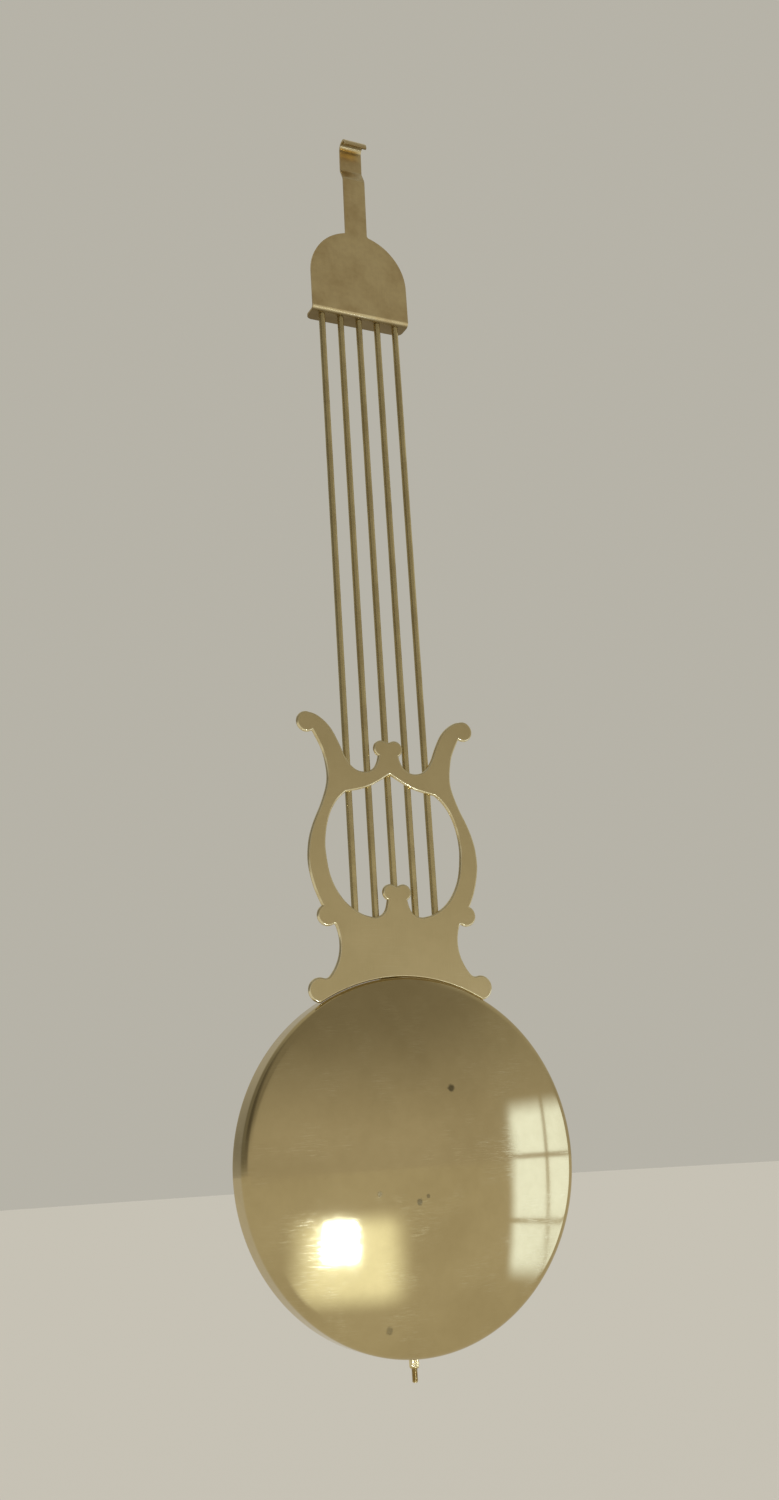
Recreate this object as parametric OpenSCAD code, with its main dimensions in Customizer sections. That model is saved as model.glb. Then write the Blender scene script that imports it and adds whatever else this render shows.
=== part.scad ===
// Lyre pendulum of a wall clock: a folded head plate with its hook, five round rods,
// a stamped lyre plate, and a domed bob that slides on a strap and rests on a rating nut.
// Millimetres, +Z up, the front faces -Y. The origin is the axis of the hook's inner curve,
// where the pendulum hangs from the suspension pin.

/* [Overall] */
// Drop from the hook's axis to the bob's centre
hang_drop = 476.5; // [430:0.5:560]
// How round the curved faces are drawn
smooth = 96; // [48:8:144]

/* [Head plate] */
// Thickness of the head plate's sheet
head_t = 1; // [0.8:0.1:1.2]
// Width of the head plate
head_w = 49.6; // [46:0.2:60]
// Height of the straight sides, from the lip's underside to the arch's centre
head_side_h = 20; // [14:0.5:26]
// Depth of the folded lip, from the plate's front face
lip_depth = 9.6; // [8:0.1:12]
// Drop from the hook's axis to the lip's underside
lip_drop = 90.5; // [82:0.5:100]
// Inner radius of the fold above the lip
fold_r = 1.4; // [1:0.1:1.6]
// Corner radius of the lip, seen from above
lip_corner_r = 3; // [0.8:0.1:4]

/* [Neck and hook] */
// Width of the neck and its hook
neck_w = 11.2; // [8:0.1:16]
// Radius in the corners between the neck and the arch
neck_corner_r = 1.4; // [0.6:0.1:2.4]
// Inner radius of the hook
hook_r = 2.8; // [2.4:0.1:3.4]
// Straight end of the hook below its axis
hook_tail = 0.5; // [0.3:0.1:2]
// Drop from the hook's axis to the top of the step in the neck
step_drop = 10.5; // [8:0.5:13]
// Height of the step in the neck
step_h = 5.5; // [4:0.5:7]
// How far the hook's leg leans back down to the step
leg_lean = 0.5; // [0:0.1:0.8]
// How far the neck steps forward
step_depth = 2.5; // [1.5:0.1:3]
// Radius of the step's bends, at the middle of the sheet
step_r = 4; // [2:0.5:5]
// How far the head plate stands forward of the hook's leg
head_forward = 0.9; // [0.5:0.1:1.4]

/* [Rods] */
// Diameter of the rods
rod_d = 3; // [2.6:0.1:3.2]
// Distance between neighbouring rods
rod_pitch = 9.5; // [8.5:0.1:10.5]
// Distance from the head plate's front face to the rods' axes
rod_set_back = 3.5; // [3.3:0.1:4.2]
// Diameter of the turned tenon at a rod's top end
tenon_d = 2; // [1.6:0.1:2.2]
// Diameter of the peened head on the tenon
peen_d = 2.7; // [2.5:0.1:2.8]
// Height of the peened head
peen_h = 0.7; // [0.4:0.1:1.2]

/* [Lyre plate] */
// Thickness of the lyre plate
lyre_t = 1.3; // [1:0.1:1.5]
// Width of the lyre over its two tips
lyre_w = 85.3; // [80:0.1:92]
// Height of the lyre's tips above the bob's top
lyre_h = 114.3; // [104:0.1:124]
// Play between the lyre's foot and the bob's rim
foot_gap = 0.15; // [0.1:0.05:1]
// Radius of the hollow corners where the waist meets the feet
foot_fillet_r = 3; // [2:0.5:4]
// Radius of the hollow corners where the waist meets the ears
ear_fillet_r = 0.8; // [0.4:0.1:1.5]
// Radius of the dips between the two lobes of each finial
dip_r = 3; // [2:0.5:5]
// Radius of the round end of each arm
tip_r = 4.55; // [4:0.05:5.2]
// Radius of the round ears beside the waist
ear_r = 4.6; // [4.2:0.1:5]
// Radius of the round feet
foot_r = 5.2; // [4.8:0.1:5.8]
// Radius of the concave waist
waist_r = 20; // [19:0.5:22]
// Radius of the lobes of the upper finial
top_finial_r = 3.7; // [3.4:0.05:4]
// Radius of the lobes of the lower finial
low_finial_r = 3.6; // [3.4:0.05:4]

/* [Bob] */
// Diameter of the bob
bob_d = 150; // [140:1:165]
// Depth of the bob's straight side band
band_depth = 9.4; // [8.5:0.1:12]
// How far the band's front edge lies behind the lyre's front face
band_set_back = 0.4; // [0:0.1:0.8]
// Radius of the turn between the side band and the dome
turn_r = 4; // [3:0.1:6]
// Radius of the shallow dome
dome_r = 400; // [330:5:600]
// Thickness of the bob's shell
shell_t = 0.8; // [0.6:0.1:1]
// Width of the rim that is turned over the back plate
rim_w = 2.4; // [1.6:0.1:3.2]
// Thickness of the bob's back plate
back_t = 1; // [0.8:0.1:1.4]
// Diameter of the weight inside the bob
weight_d = 112; // [90:1:118]
// Thickness of the weight
weight_t = 6; // [4:0.5:6.5]
// Radius of the ring on which the weight's screws stand
weight_ring_r = 35; // [30:1:40]
// Diameter of the weight's screws
weight_screw_d = 3; // [2.6:0.1:4]
// Diameter of the weight screws' heads
weight_head_d = 5.55; // [5:0.05:6]
// Height of the weight screws' heads
weight_head_h = 1.8; // [1.4:0.1:2.2]

/* [Clamp bar and hanger] */
// Height of the bar that clamps the rods to the lyre
bar_h = 13; // [11:0.5:14]
// Width of the bar that clamps the rods
bar_w = 46; // [44:0.5:52]
// Depth of the bar that clamps the rods
bar_depth = 6.6; // [6.2:0.1:6.8]
// Height of the bar's foot above the bob's top
bar_rise = 7; // [6:0.5:8]
// Width of the hanger strap
strap_w = 10; // [8:0.5:12]
// Thickness of the hanger strap
strap_t = 1.5; // [1.2:0.1:1.8]
// Height of the strap's step below the clamp bar
strap_step_h = 5; // [4:0.5:7]
// Radius of the strap's bends, at the middle of its thickness
strap_r = 2; // [1.5:0.1:3]
// Diameter of the strap's screws
strap_screw_d = 2.5; // [2:0.1:3]
// Distance between the strap's screws
strap_screw_pitch = 6.4; // [5.6:0.1:7]
// Diameter of the strap screws' heads
strap_head_d = 4.6; // [4:0.1:5]
// Height of the strap screws' heads
strap_head_h = 1.6; // [1.2:0.1:2]
// Height of the screw block
screw_block_h = 10; // [8:0.5:12]
// Depth of the screw block
screw_block_depth = 3.6; // [3.4:0.1:3.8]
// Height of the screw block's foot above the bob's lowest point
screw_block_rise = 24; // [22:0.5:28]

/* [Rating screw and nut] */
// Diameter of the rating screw
screw_d = 2.5; // [2.2:0.1:2.6]
// Length of the rating screw that shows below the bob's lowest point
screw_below = 10; // [9.5:0.5:14]
// Diameter of the rating nut
nut_d = 4; // [3.8:0.1:4.8]
// Height of the rating nut
nut_h = 4.2; // [3:0.1:4.4]
// Height of the plain collar at each end of the nut
collar_h = 0.5; // [0.3:0.1:0.8]
// Number of teeth of the nut's knurl
knurl_n = 24; // [16:2:32]
// Depth of the knurl
knurl_depth = 0.12; // [0.08:0.02:0.16]

/* [Guides on the bob's back] */
// Height of the upper guide's middle above the bob's centre
guide_rise = 31.5; // [26:0.5:36]
// Length of the upper guide along the strap
guide_len = 9; // [7:0.5:12]
// Thickness of the upper guide's strip
guide_t = 1; // [0.8:0.1:1.2]
// Width of each foot of the upper guide
guide_foot = 6; // [5:0.5:8]
// Radius of the upper guide's bends, at the middle of its strip
guide_bend_r = 0.9; // [0.7:0.1:1.2]
// Diameter of the guide's rivets
rivet_d = 2; // [1.6:0.1:2.4]
// Height of the guide block, from the nut to its top
guide_block_h = 15; // [13:0.5:18]
// Width of the guide block
guide_block_w = 16; // [14:0.5:20]
// Width of the guide block's nose, behind the rim
nose_w = 8; // [6:0.5:10]
// How far the guide block's nose reaches below the rim
nose_below = 0.3; // [0.2:0.1:0.6]
// Wall behind the rating screw in the guide block
block_wall = 1.4; // [1:0.1:2]
// Distance between the guide block's screws
block_screw_pitch = 10.4; // [9.4:0.2:11]
// Diameter of the guide block's screws
block_screw_d = 2; // [1.6:0.1:2.2]
// Diameter of the block screws' heads
block_head_d = 3.6; // [3.2:0.1:4]
// Height of the block screws' heads
block_head_h = 1.3; // [1:0.1:1.6]
// Distance of the block screws below the top of the block
block_screw_inset = 3.4; // [3:0.1:4]

/* [Fits] */
// Gap between the lyre's back and the rods' front
rod_gap = 0.2; // [0.1:0.05:0.3]
// Radial play of a tenon in the lip
tenon_play = 0.05; // [0.03:0.01:0.08]
// Radial play of the rating screw in the nut and the guide block
screw_play = 0.05; // [0.03:0.01:0.08]
// Radial play of a screw or rivet in the sheet that it holds
hole_play = 0.1; // [0.05:0.05:0.2]
// Play of the strap in the upper guide, each side
strap_play = 0.15; // [0.1:0.05:0.3]
// Gap between the bob's back and the hanger strap
strap_gap = 1.2; // [1:0.1:1.6]
// Gap between the guide block and the nut's top
nut_gap = 0.1; // [0.05:0.05:0.2]
// Radial gap between the back plate and the bob's shell
plate_gap = 0.1; // [0.05:0.05:0.2]

/* [Hidden] */
$fn = smooth;
eps = 0.01;
beyond = 50;

// Places along Y, from the front of the head plate to the back of the guide block.
head_y = hook_r - head_forward;
rod_y = head_y + rod_set_back;
lyre_y = rod_y - rod_d / 2 - rod_gap - lyre_t;
bar_y = lyre_y + lyre_t;
bar_back_y = bar_y + bar_depth;
band_y = lyre_y + band_set_back;
bob_back_y = band_y + band_depth;
plate_back_y = bob_back_y - shell_t;
plate_y = plate_back_y - back_t;
strap_y = bob_back_y + strap_gap;
screw_y = strap_y + strap_t / 2;
block_back_y = screw_y + screw_d / 2 + block_wall;

// Places along Z.
lip_z = -lip_drop;
arch_z = lip_z + head_side_h;
bob_z = -hang_drop;
bob_r = bob_d / 2;
lyre_z = bob_z + bob_r;
foot_arc_r = bob_r + foot_gap;
bar_z = lyre_z + bar_rise;
nose_z = bob_z - bob_r - nose_below;
nut_top_z = nose_z - nut_gap;
screw_end_z = bob_z - bob_r - screw_below;
screw_block_z = bob_z - bob_r + screw_block_rise;
block_top_z = nose_z + guide_block_h;

// Depth of the screw block's floor, which closes its fork and holds the rating screw's top.
block_floor = 2;

// The rods, from left to right.
rod_x = [for (i = [-2:2]) i * rod_pitch];

// The strap's two screws, in the middle of the clamp bar.
strap_screw_bite = 2.6;
strap_screw_z = [for (k = [-1, 1]) bar_z + bar_h / 2 + k * strap_screw_pitch / 2];

// The weight's three screws, as points from the bob's centre.
weight_screw_bite = 4.5;
weight_screw_at = [for (a = [0, 120, 240]) weight_ring_r * [cos(a), sin(a)]];

// The guide's two rivets and the guide block's two screws.
guide_rivet_x = strap_w / 2 + strap_play + guide_t + guide_foot / 2;
block_screw_x = block_screw_pitch / 2;
block_screw_z = block_top_z - block_screw_inset;

// The lyre's right-hand half, as points above the bob's top, drawn for this width and height.
drawn_w = 85.3;
drawn_h = 114.3;
tip_at = [38.1, 109.75];
ear_at = [32.8, 26.2];
foot_x = 37.7;
foot_bite = 0.6;
body_foot = [35.7, -9];
top_finial_at = [3.2, 99.6];
low_finial_at = [3.1, 36.1];
stem_foot_z = 25;
waist_at = [47.8, 14.5];
waist_top_z = 23;
arm_outside = [[35.2, 30.6], [38.4, 38.5], [40.3, 48], [39.7, 57], [37.3, 65], [33.2, 73.8], [30.3, 82],
               [29.8, 88.5], [31.4, 97.3], [35.2, 105.2]];
arm_inside = [[37.8, 114.2], [34, 113.4], [30, 110.9], [26.5, 107], [23.5, 101.3], [21, 95.5], [18.4, 91.6],
              [15.5, 89.4], [12.2, 88.8], [9.5, 89.4], [7.2, 91], [5.7, 93.6], [4.9, 96.4]];
window_top = [[0, 88], [5, 85], [10, 82.4], [15, 80.8], [21.5, 79.4]];
window_side = [[21.5, 79.4], [25.3, 76], [28.5, 71.2], [30.8, 65], [32, 58], [31.9, 51.5], [30.6, 43.5],
               [27.8, 36.8], [23.5, 31.2], [18, 27.4], [13.5, 25.8], [10.2, 25.6], [7.5, 26.8], [5.8, 29],
               [4.8, 32.6]];
curve_steps = 5;
waist_steps = 12;

// How far the fillets' fillings reach into the lyre's body.
fill_bite = 0.5;

// Largest turn of a bend in one step, in degrees.
bend_step = 7.5;

// Point of a smooth curve through four points, from the second at t = 0 to the third at t = 1.
function between(a, b, c, d, t) =
    ((2 * b) + (c - a) * t + (2 * a - 5 * b + 4 * c - d) * t * t + (3 * b - a - 3 * c + d) * t * t * t) / 2;

// A smooth curve through the points of a list.
function curve(p) =
    [for (i = [0:len(p) - 2], s = [0:curve_steps - 1])
        between(p[max(i - 1, 0)], p[i], p[i + 1], p[min(i + 2, len(p) - 1)], s / curve_steps),
     p[len(p) - 1]];

// A list from its last item to its first.
function backward(p) = [for (i = [len(p) - 1:-1:0]) p[i]];

// A drawn point of the lyre, at the lyre's real width and height.
function at_size(q) = [q.x * lyre_w / drawn_w, q.y * lyre_h / drawn_h];

// A right-hand outline closed with its own mirror image. Its ends lie on x = 0.
function both_sides(p) = concat(p, [for (i = [len(p) - 2:-1:1]) [-p[i].x, p[i].y]]);

// The concave waist between the foot and the ear, part of a circle round a point beside the lyre.
waist_centre = at_size(waist_at);
function waist_point(z) = [waist_centre.x - sqrt(waist_r * waist_r - pow(z - waist_centre.y, 2)), z];
waist = [for (i = [0:waist_steps]) waist_point(i * at_size([0, waist_top_z]).y / waist_steps)];

// The right-hand foot and ear.
foot_reach = foot_arc_r + foot_r - foot_bite;
foot_across = at_size([foot_x, 0]).x;
foot_centre = [foot_across, sqrt(foot_reach * foot_reach - foot_across * foot_across) - bob_r];
ear_centre = at_size(ear_at);

// The point at distance ra from a and rb from b, on the left of the way from a to b.
function meeting(a, ra, b, rb) =
    let (d = norm(b - a),
         along = (d * d + ra * ra - rb * rb) / (2 * d))
    a + along * toward(a, b) + sqrt(ra * ra - along * along) * left_of(toward(a, b));

// Direction from one point to another, a direction's left-hand side, and a direction turned by an angle.
function toward(a, b) = (b - a) / norm(b - a);
function left_of(v) = [-v.y, v.x];
function turned_by(v, a) = [v.x * cos(a) - v.y * sin(a), v.x * sin(a) + v.y * cos(a)];

// One side of the bend at b, on a path from a to c: off is the side's distance to the path's left.
function bend(a, b, c, r, off) =
    let (u = toward(a, b),
         v = toward(b, c),
         turn = atan2(cross(u, v), u * v),
         hand = sign(turn),
         steps = max(1, ceil(abs(turn) / bend_step)),
         centre = b - r * tan(abs(turn) / 2) * u + hand * r * left_of(u))
    [for (i = [0:steps]) centre + (r - hand * off) * turned_by(-hand * left_of(u), turn * i / steps)];

// One side of a bent strip that follows a path with bends of radius r.
function strip_side(path, r, off) =
    let (last = len(path) - 1)
    concat([path[0] + off * left_of(toward(path[0], path[1]))],
           [for (i = [1:last - 1]) each bend(path[i - 1], path[i], path[i + 1], r, off)],
           [path[last] + off * left_of(toward(path[last - 1], path[last]))]);

// The section of a sheet of thickness t, bent along a path through the middle of the sheet.
function strip(path, r, t) = concat(strip_side(path, r, -t / 2), backward(strip_side(path, r, t / 2)));

// Turns a drawing in the XZ plane into a plate whose front face is at y.
module front_plate(y, t) {
    translate([0, y + t, 0])
        rotate([90, 0, 0])
            linear_extrude(t)
                children();
}

// Turns a drawing whose axes are Y and Z into a bar that is centred on x = 0.
module side_bar(w) {
    rotate([90, 0, 90])
        translate([0, 0, -w / 2])
            linear_extrude(w)
                children();
}

// A round solid along Y, from y0 back to y1.
module disc(r, y0, y1) {
    translate([0, y1, 0])
        rotate([90, 0, 0])
            cylinder(r = r, h = y1 - y0);
}

// A slotted cheese-head screw along Y, with its head's underside at y and its shank in front.
module cheese_screw(y, shank_d, shank_l, head_d, head_h) {
    slot_w = head_d * 0.16;
    slot_depth = head_h * 0.45;
    difference() {
        union() {
            disc(shank_d / 2, y - shank_l, y + eps);
            disc(head_d / 2, y, y + head_h);
        }
        translate([-head_d, y + head_h - slot_depth, -slot_w / 2])
            cube([2 * head_d, head_h, slot_w]);
    }
}

// The space above and behind a rounded corner whose centre is the origin.
module round_corner(r) {
    circle(r = r);
    translate([-r, 0])
        square([r + beyond, beyond]);
    translate([0, -r])
        square([beyond, r + beyond]);
}

// A round-topped outline with straight legs below its axis.
module arch(r, leg) {
    circle(r = r);
    translate([-r, -leg])
        square([2 * r, leg]);
}

// The head plate's sheet seen from the side: plate, fold and lip, neck, step and hook.
module head_side() {
    outer_r = fold_r + head_t;
    head_mid_y = head_y + head_t / 2;
    hook_mid_y = hook_r + head_t / 2;
    leg_mid_y = hook_mid_y + leg_lean;
    // Plate, neck and step, up to the hook's axis
    polygon(strip([[head_mid_y, lip_z + outer_r], [head_mid_y, arch_z + head_w / 2],
                   [leg_mid_y - step_depth, -step_drop - step_h], [leg_mid_y, -step_drop],
                   [hook_mid_y, -hook_tail], [hook_mid_y, 0]],
                  step_r, head_t));
    // Fold and lip
    intersection() {
        translate([head_y + outer_r, lip_z + outer_r])
            difference() {
                round_corner(outer_r);
                round_corner(fold_r);
            }
        translate([head_y, lip_z])
            square([lip_depth, head_side_h]);
    }
    // Hook
    intersection() {
        difference() {
            arch(hook_r + head_t, hook_tail);
            arch(hook_r, hook_tail);
        }
        translate([-beyond, -hook_tail])
            square(2 * beyond);
    }
}

// The head plate's outline seen from the front.
module head_front() {
    translate([-head_w / 2, lip_z])
        square([head_w, head_side_h]);
    translate([0, arch_z])
        circle(r = head_w / 2);
    translate([-neck_w / 2, arch_z])
        square([neck_w, -arch_z + hook_r + head_t]);
    // Round corners between the neck and the arch
    corner_x = neck_w / 2 + neck_corner_r;
    corner_z = arch_z + sqrt(pow(head_w / 2 + neck_corner_r, 2) - corner_x * corner_x);
    touch_x = corner_x * head_w / (head_w + 2 * neck_corner_r);
    difference() {
        translate([-touch_x, arch_z])
            square([2 * touch_x, corner_z - arch_z]);
        for (side = [-1, 1])
            translate([side * corner_x, corner_z])
                circle(r = neck_corner_r);
    }
}

// The lip's outline seen from above, with its two rear corners rounded.
module head_plan() {
    rear_y = head_y + lip_depth;
    translate([-head_w / 2, -beyond])
        square([head_w, beyond + rear_y - lip_corner_r]);
    translate([-head_w / 2 + lip_corner_r, -beyond])
        square([head_w - 2 * lip_corner_r, beyond + rear_y]);
    for (side = [-1, 1])
        translate([side * (head_w / 2 - lip_corner_r), rear_y - lip_corner_r])
            circle(r = lip_corner_r);
}

// One sheet: arched plate, lip with five holes, neck and hook.
module head_plate() {
    color("#9a8350")
        difference() {
            intersection() {
                side_bar(head_w)
                    head_side();
                front_plate(-beyond, 2 * beyond)
                    head_front();
                translate([0, 0, lip_z - beyond])
                    linear_extrude(lip_drop + 2 * beyond)
                        head_plan();
            }
            for (x = rod_x)
                translate([x, rod_y, lip_z - eps])
                    cylinder(r = tenon_d / 2 + tenon_play, h = head_t + 2 * eps);
        }
}

// A rod: shoulder under the lip, tenon through it, peened head on top, foot in the clamp bar.
module rod(i) {
    color("#8b7a48")
        translate([rod_x[i], rod_y, 0]) {
            translate([0, 0, bar_z])
                cylinder(d = rod_d, h = lip_z - bar_z);
            translate([0, 0, lip_z - eps])
                cylinder(d = tenon_d, h = head_t + 2 * eps);
            translate([0, 0, lip_z + head_t])
                cylinder(d1 = peen_d, d2 = tenon_d, h = peen_h);
        }
}

// The lyre's body and arms, without its lobes.
module lyre_outline() {
    foot = [[0, body_foot.y], body_foot];
    arm = concat(curve(arm_outside), [tip_at], curve(arm_inside), [[0, top_finial_at.y]]);
    polygon(both_sides(concat([for (q = foot) at_size(q)], waist, [for (q = arm) at_size(q)])));
}

// The lyre's window, with its pointed top.
module lyre_window() {
    stem_top_z = window_side[len(window_side) - 1].y;
    half = concat(curve(window_top), curve(window_side), [[0, stem_top_z]]);
    polygon(both_sides([for (q = half) at_size(q)]));
}

// A round lobe on each side of the lyre, at a drawn point.
module lobes(at, r) {
    for (side = [-1, 1])
        translate([side * at_size(at).x, at_size(at).y])
            circle(r = r);
}

// The lower finial's stem, from the lyre's body to its two lobes.
module finial_stem() {
    foot = at_size([low_finial_at.x, stem_foot_z]);
    translate([-foot.x, foot.y])
        square([2 * foot.x, at_size(low_finial_at).y - foot.y]);
}

// The round feet, which lie on the foot arc.
module lyre_feet() {
    for (side = [-1, 1])
        translate([side * foot_centre.x, foot_centre.y])
            circle(r = foot_r);
}

// Fills the corner between a lobe and the waist with a hollow fillet of radius f about p, on both sides.
module waist_fillet(lobe, r, p, f) {
    beyond_waist = waist_centre + (p - waist_centre) * (waist_r + fill_bite) / (waist_r - f);
    drawn = [lobe, p, beyond_waist, lobe - [r, 0]];
    corner = cross(p - lobe, beyond_waist - lobe) > 0 ? drawn : backward(drawn);
    for (side = [-1, 1])
        difference() {
            polygon(side > 0 ? corner : [for (q = backward(corner)) [-q.x, q.y]]);
            translate([side * p.x, p.y])
                circle(r = f);
        }
}

// Fills the cleft between a finial's two lobes up to a shallow dip.
module finial_dip(at, r) {
    lobe = at_size(at);
    p = meeting([-lobe.x, lobe.y], r + dip_r - eps, lobe, r + dip_r - eps);
    difference() {
        polygon([[-lobe.x, lobe.y - fill_bite], [lobe.x, lobe.y - fill_bite], lobe, p, [-lobe.x, lobe.y]]);
        translate(p)
            circle(r = dip_r);
    }
}

// The stamped lyre plate. Its foot is cut round the bob's rim.
module lyre_plate() {
    color("#a8965f")
        translate([0, 0, lyre_z])
            front_plate(lyre_y, lyre_t)
                difference() {
                    union() {
                        difference() {
                            lyre_outline();
                            lyre_window();
                        }
                        lobes(tip_at, tip_r);
                        lobes(ear_at, ear_r);
                        lobes(top_finial_at, top_finial_r);
                        lobes(low_finial_at, low_finial_r);
                        finial_dip(top_finial_at, top_finial_r);
                        finial_dip(low_finial_at, low_finial_r);
                        finial_stem();
                        lyre_feet();
                        waist_fillet(foot_centre, foot_r,
                                     meeting(foot_centre, foot_r + foot_fillet_r - eps,
                                             waist_centre, waist_r - foot_fillet_r), foot_fillet_r);
                        waist_fillet(ear_centre, ear_r,
                                     meeting(waist_centre, waist_r - ear_fillet_r,
                                             ear_centre, ear_r + ear_fillet_r - eps), ear_fillet_r);
                    }
                    translate([0, -bob_r])
                        circle(r = foot_arc_r);
                }
}

// The bar soldered behind the lyre's body, which holds the rods' feet in five grooves.
module rod_clamp_bar() {
    color("#8f7a45")
        difference() {
            translate([-bar_w / 2, bar_y, bar_z])
                cube([bar_w, bar_depth, bar_h]);
            for (x = rod_x) {
                translate([x, rod_y, bar_z - eps])
                    cylinder(d = rod_d, h = bar_h + 2 * eps);
                translate([x - rod_d / 2, bar_y - eps, bar_z - eps])
                    cube([rod_d, rod_y - bar_y + eps, bar_h + 2 * eps]);
            }
            for (z = strap_screw_z)
                translate([0, 0, z])
                    disc(strap_screw_d / 2, bar_back_y - strap_screw_bite, bar_back_y + eps);
        }
}

// The strap that steps back from the bar and runs down behind the bob into the screw block.
module hanger_strap() {
    upper_y = bar_back_y + strap_t / 2;
    lower_y = strap_y + strap_t / 2;
    step_foot_z = bar_z - strap_step_h;
    color("#9c8548")
        difference() {
            side_bar(strap_w)
                polygon(strip([[lower_y, screw_block_z + block_floor], [lower_y, step_foot_z],
                               [upper_y, bar_z], [upper_y, bar_z + bar_h]], strap_r, strap_t));
            for (z = strap_screw_z)
                translate([0, 0, z])
                    disc(strap_screw_d / 2 + hole_play, bar_back_y - eps, bar_back_y + strap_t + eps);
        }
}

// Two slotted screws that hold the strap on the bar.
module strap_screws() {
    color("#b09a55")
        for (z = strap_screw_z)
            translate([0, 0, z])
                cheese_screw(bar_back_y + strap_t, strap_screw_d, strap_t + strap_screw_bite,
                             strap_head_d, strap_head_h);
}

// The forked block soldered on the strap's lower end, which holds the rating screw.
module screw_block() {
    color("#8f7a45")
        difference() {
            translate([-strap_w / 2, screw_y - screw_block_depth / 2, screw_block_z])
                cube([strap_w, screw_block_depth, screw_block_h]);
            // Fork round the strap's end
            translate([-beyond, strap_y, screw_block_z + block_floor])
                cube([2 * beyond, strap_t, screw_block_h]);
            // Seat of the screw's top end
            translate([0, screw_y, screw_block_z - eps])
                cylinder(d = screw_d, h = block_floor + 2 * eps);
        }
}

// The rating screw: a threaded stud with a chamfered end.
module rating_screw() {
    chamfer = screw_d * 0.16;
    top_z = screw_block_z + block_floor;
    color("#b5a56b")
        translate([0, screw_y, 0]) {
            translate([0, 0, screw_end_z + chamfer])
                cylinder(d = screw_d, h = top_z - screw_end_z - chamfer);
            translate([0, 0, screw_end_z])
                cylinder(d1 = screw_d - 2 * chamfer, d2 = screw_d, h = chamfer);
        }
}

// The bob's outer form, shrunk by t, as a half section: radius along X, forward along Y.
module bob_section(t) {
    turn_x = bob_r - turn_r;
    dome_drop = sqrt(pow(dome_r - turn_r, 2) - turn_x * turn_x);
    meet_x = turn_x * dome_r / (dome_r - turn_r);
    translate([0, -band_y]) {
        translate([0, -band_depth])
            square([bob_r - t, band_depth]);
        translate([turn_x, 0])
            circle(r = turn_r - t);
        square([turn_x, turn_r - t]);
        intersection() {
            translate([0, -dome_drop])
                circle(r = dome_r - t, $fn = 360);
            square([meet_x, dome_r]);
        }
    }
}

// The spun brass shell: dome, turn, side band and the rim turned over at the back.
module bob_shell() {
    inner_r = bob_r - shell_t;
    color("#b09b5e")
        translate([0, 0, bob_z])
            rotate([90, 0, 0])
                rotate_extrude() {
                    difference() {
                        intersection() {
                            bob_section(0);
                            translate([0, -beyond])
                                square([bob_r, 2 * beyond]);
                        }
                        bob_section(shell_t);
                        translate([0, -bob_back_y - eps])
                            square([inner_r, band_depth]);
                    }
                    translate([inner_r - rim_w, -bob_back_y])
                        square([rim_w + shell_t / 2, shell_t]);
                }
}

// The flat plate that closes the bob's back behind the turned rim.
module bob_back_plate() {
    color("#7d6f4a")
        difference() {
            translate([0, 0, bob_z])
                disc(bob_r - shell_t - plate_gap, plate_y, plate_back_y);
            translate([0, 0, bob_z]) {
                for (p = weight_screw_at)
                    translate([p.x, 0, p.y])
                        disc(weight_screw_d / 2 + hole_play, plate_y - eps, plate_back_y + eps);
                for (side = [-1, 1])
                    translate([side * guide_rivet_x, 0, guide_rise])
                        disc(rivet_d / 2 + hole_play, plate_y - eps, plate_back_y + eps);
            }
            for (side = [-1, 1])
                translate([side * block_screw_x, 0, block_screw_z])
                    disc(block_screw_d / 2 + hole_play, plate_y - eps, plate_back_y + eps);
        }
}

// The iron disc that gives the bob its weight, screwed to the back plate.
module bob_weight() {
    hole_depth = weight_screw_bite + 0.5;
    color("#5c5c5e")
        translate([0, 0, bob_z])
            difference() {
                disc(weight_d / 2, plate_y - weight_t, plate_y);
                for (p = weight_screw_at)
                    translate([p.x, 0, p.y])
                        disc(weight_screw_d / 2, plate_y - min(hole_depth, weight_t - 1), plate_y + eps);
            }
}

// Three slotted screws through the back plate into the weight.
module weight_screws() {
    bite = min(weight_screw_bite, weight_t - 1.5);
    color("#8d8f92")
        translate([0, 0, bob_z])
            for (p = weight_screw_at)
                translate([p.x, 0, p.y])
                    cheese_screw(plate_back_y, weight_screw_d, back_t + bite, weight_head_d, weight_head_h);
}

// The bent strip that the strap slides through, high on the bob's back.
module upper_guide() {
    leg_x = strap_w / 2 + strap_play + guide_t / 2;
    foot_end_x = strap_w / 2 + strap_play + guide_t + guide_foot;
    foot_y = plate_back_y + guide_t / 2;
    bridge_y = strap_y + strap_t + strap_play + guide_t / 2;
    color("#a28b4c")
        translate([0, 0, bob_z + guide_rise - guide_len / 2])
            difference() {
                linear_extrude(guide_len)
                    polygon(strip([[-foot_end_x, foot_y], [-leg_x, foot_y], [-leg_x, bridge_y],
                                   [leg_x, bridge_y], [leg_x, foot_y], [foot_end_x, foot_y]],
                                  guide_bend_r, guide_t));
                for (side = [-1, 1])
                    translate([side * guide_rivet_x, 0, guide_len / 2])
                        disc(rivet_d / 2 + hole_play, plate_back_y - eps, plate_back_y + guide_t + eps);
            }
}

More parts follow.
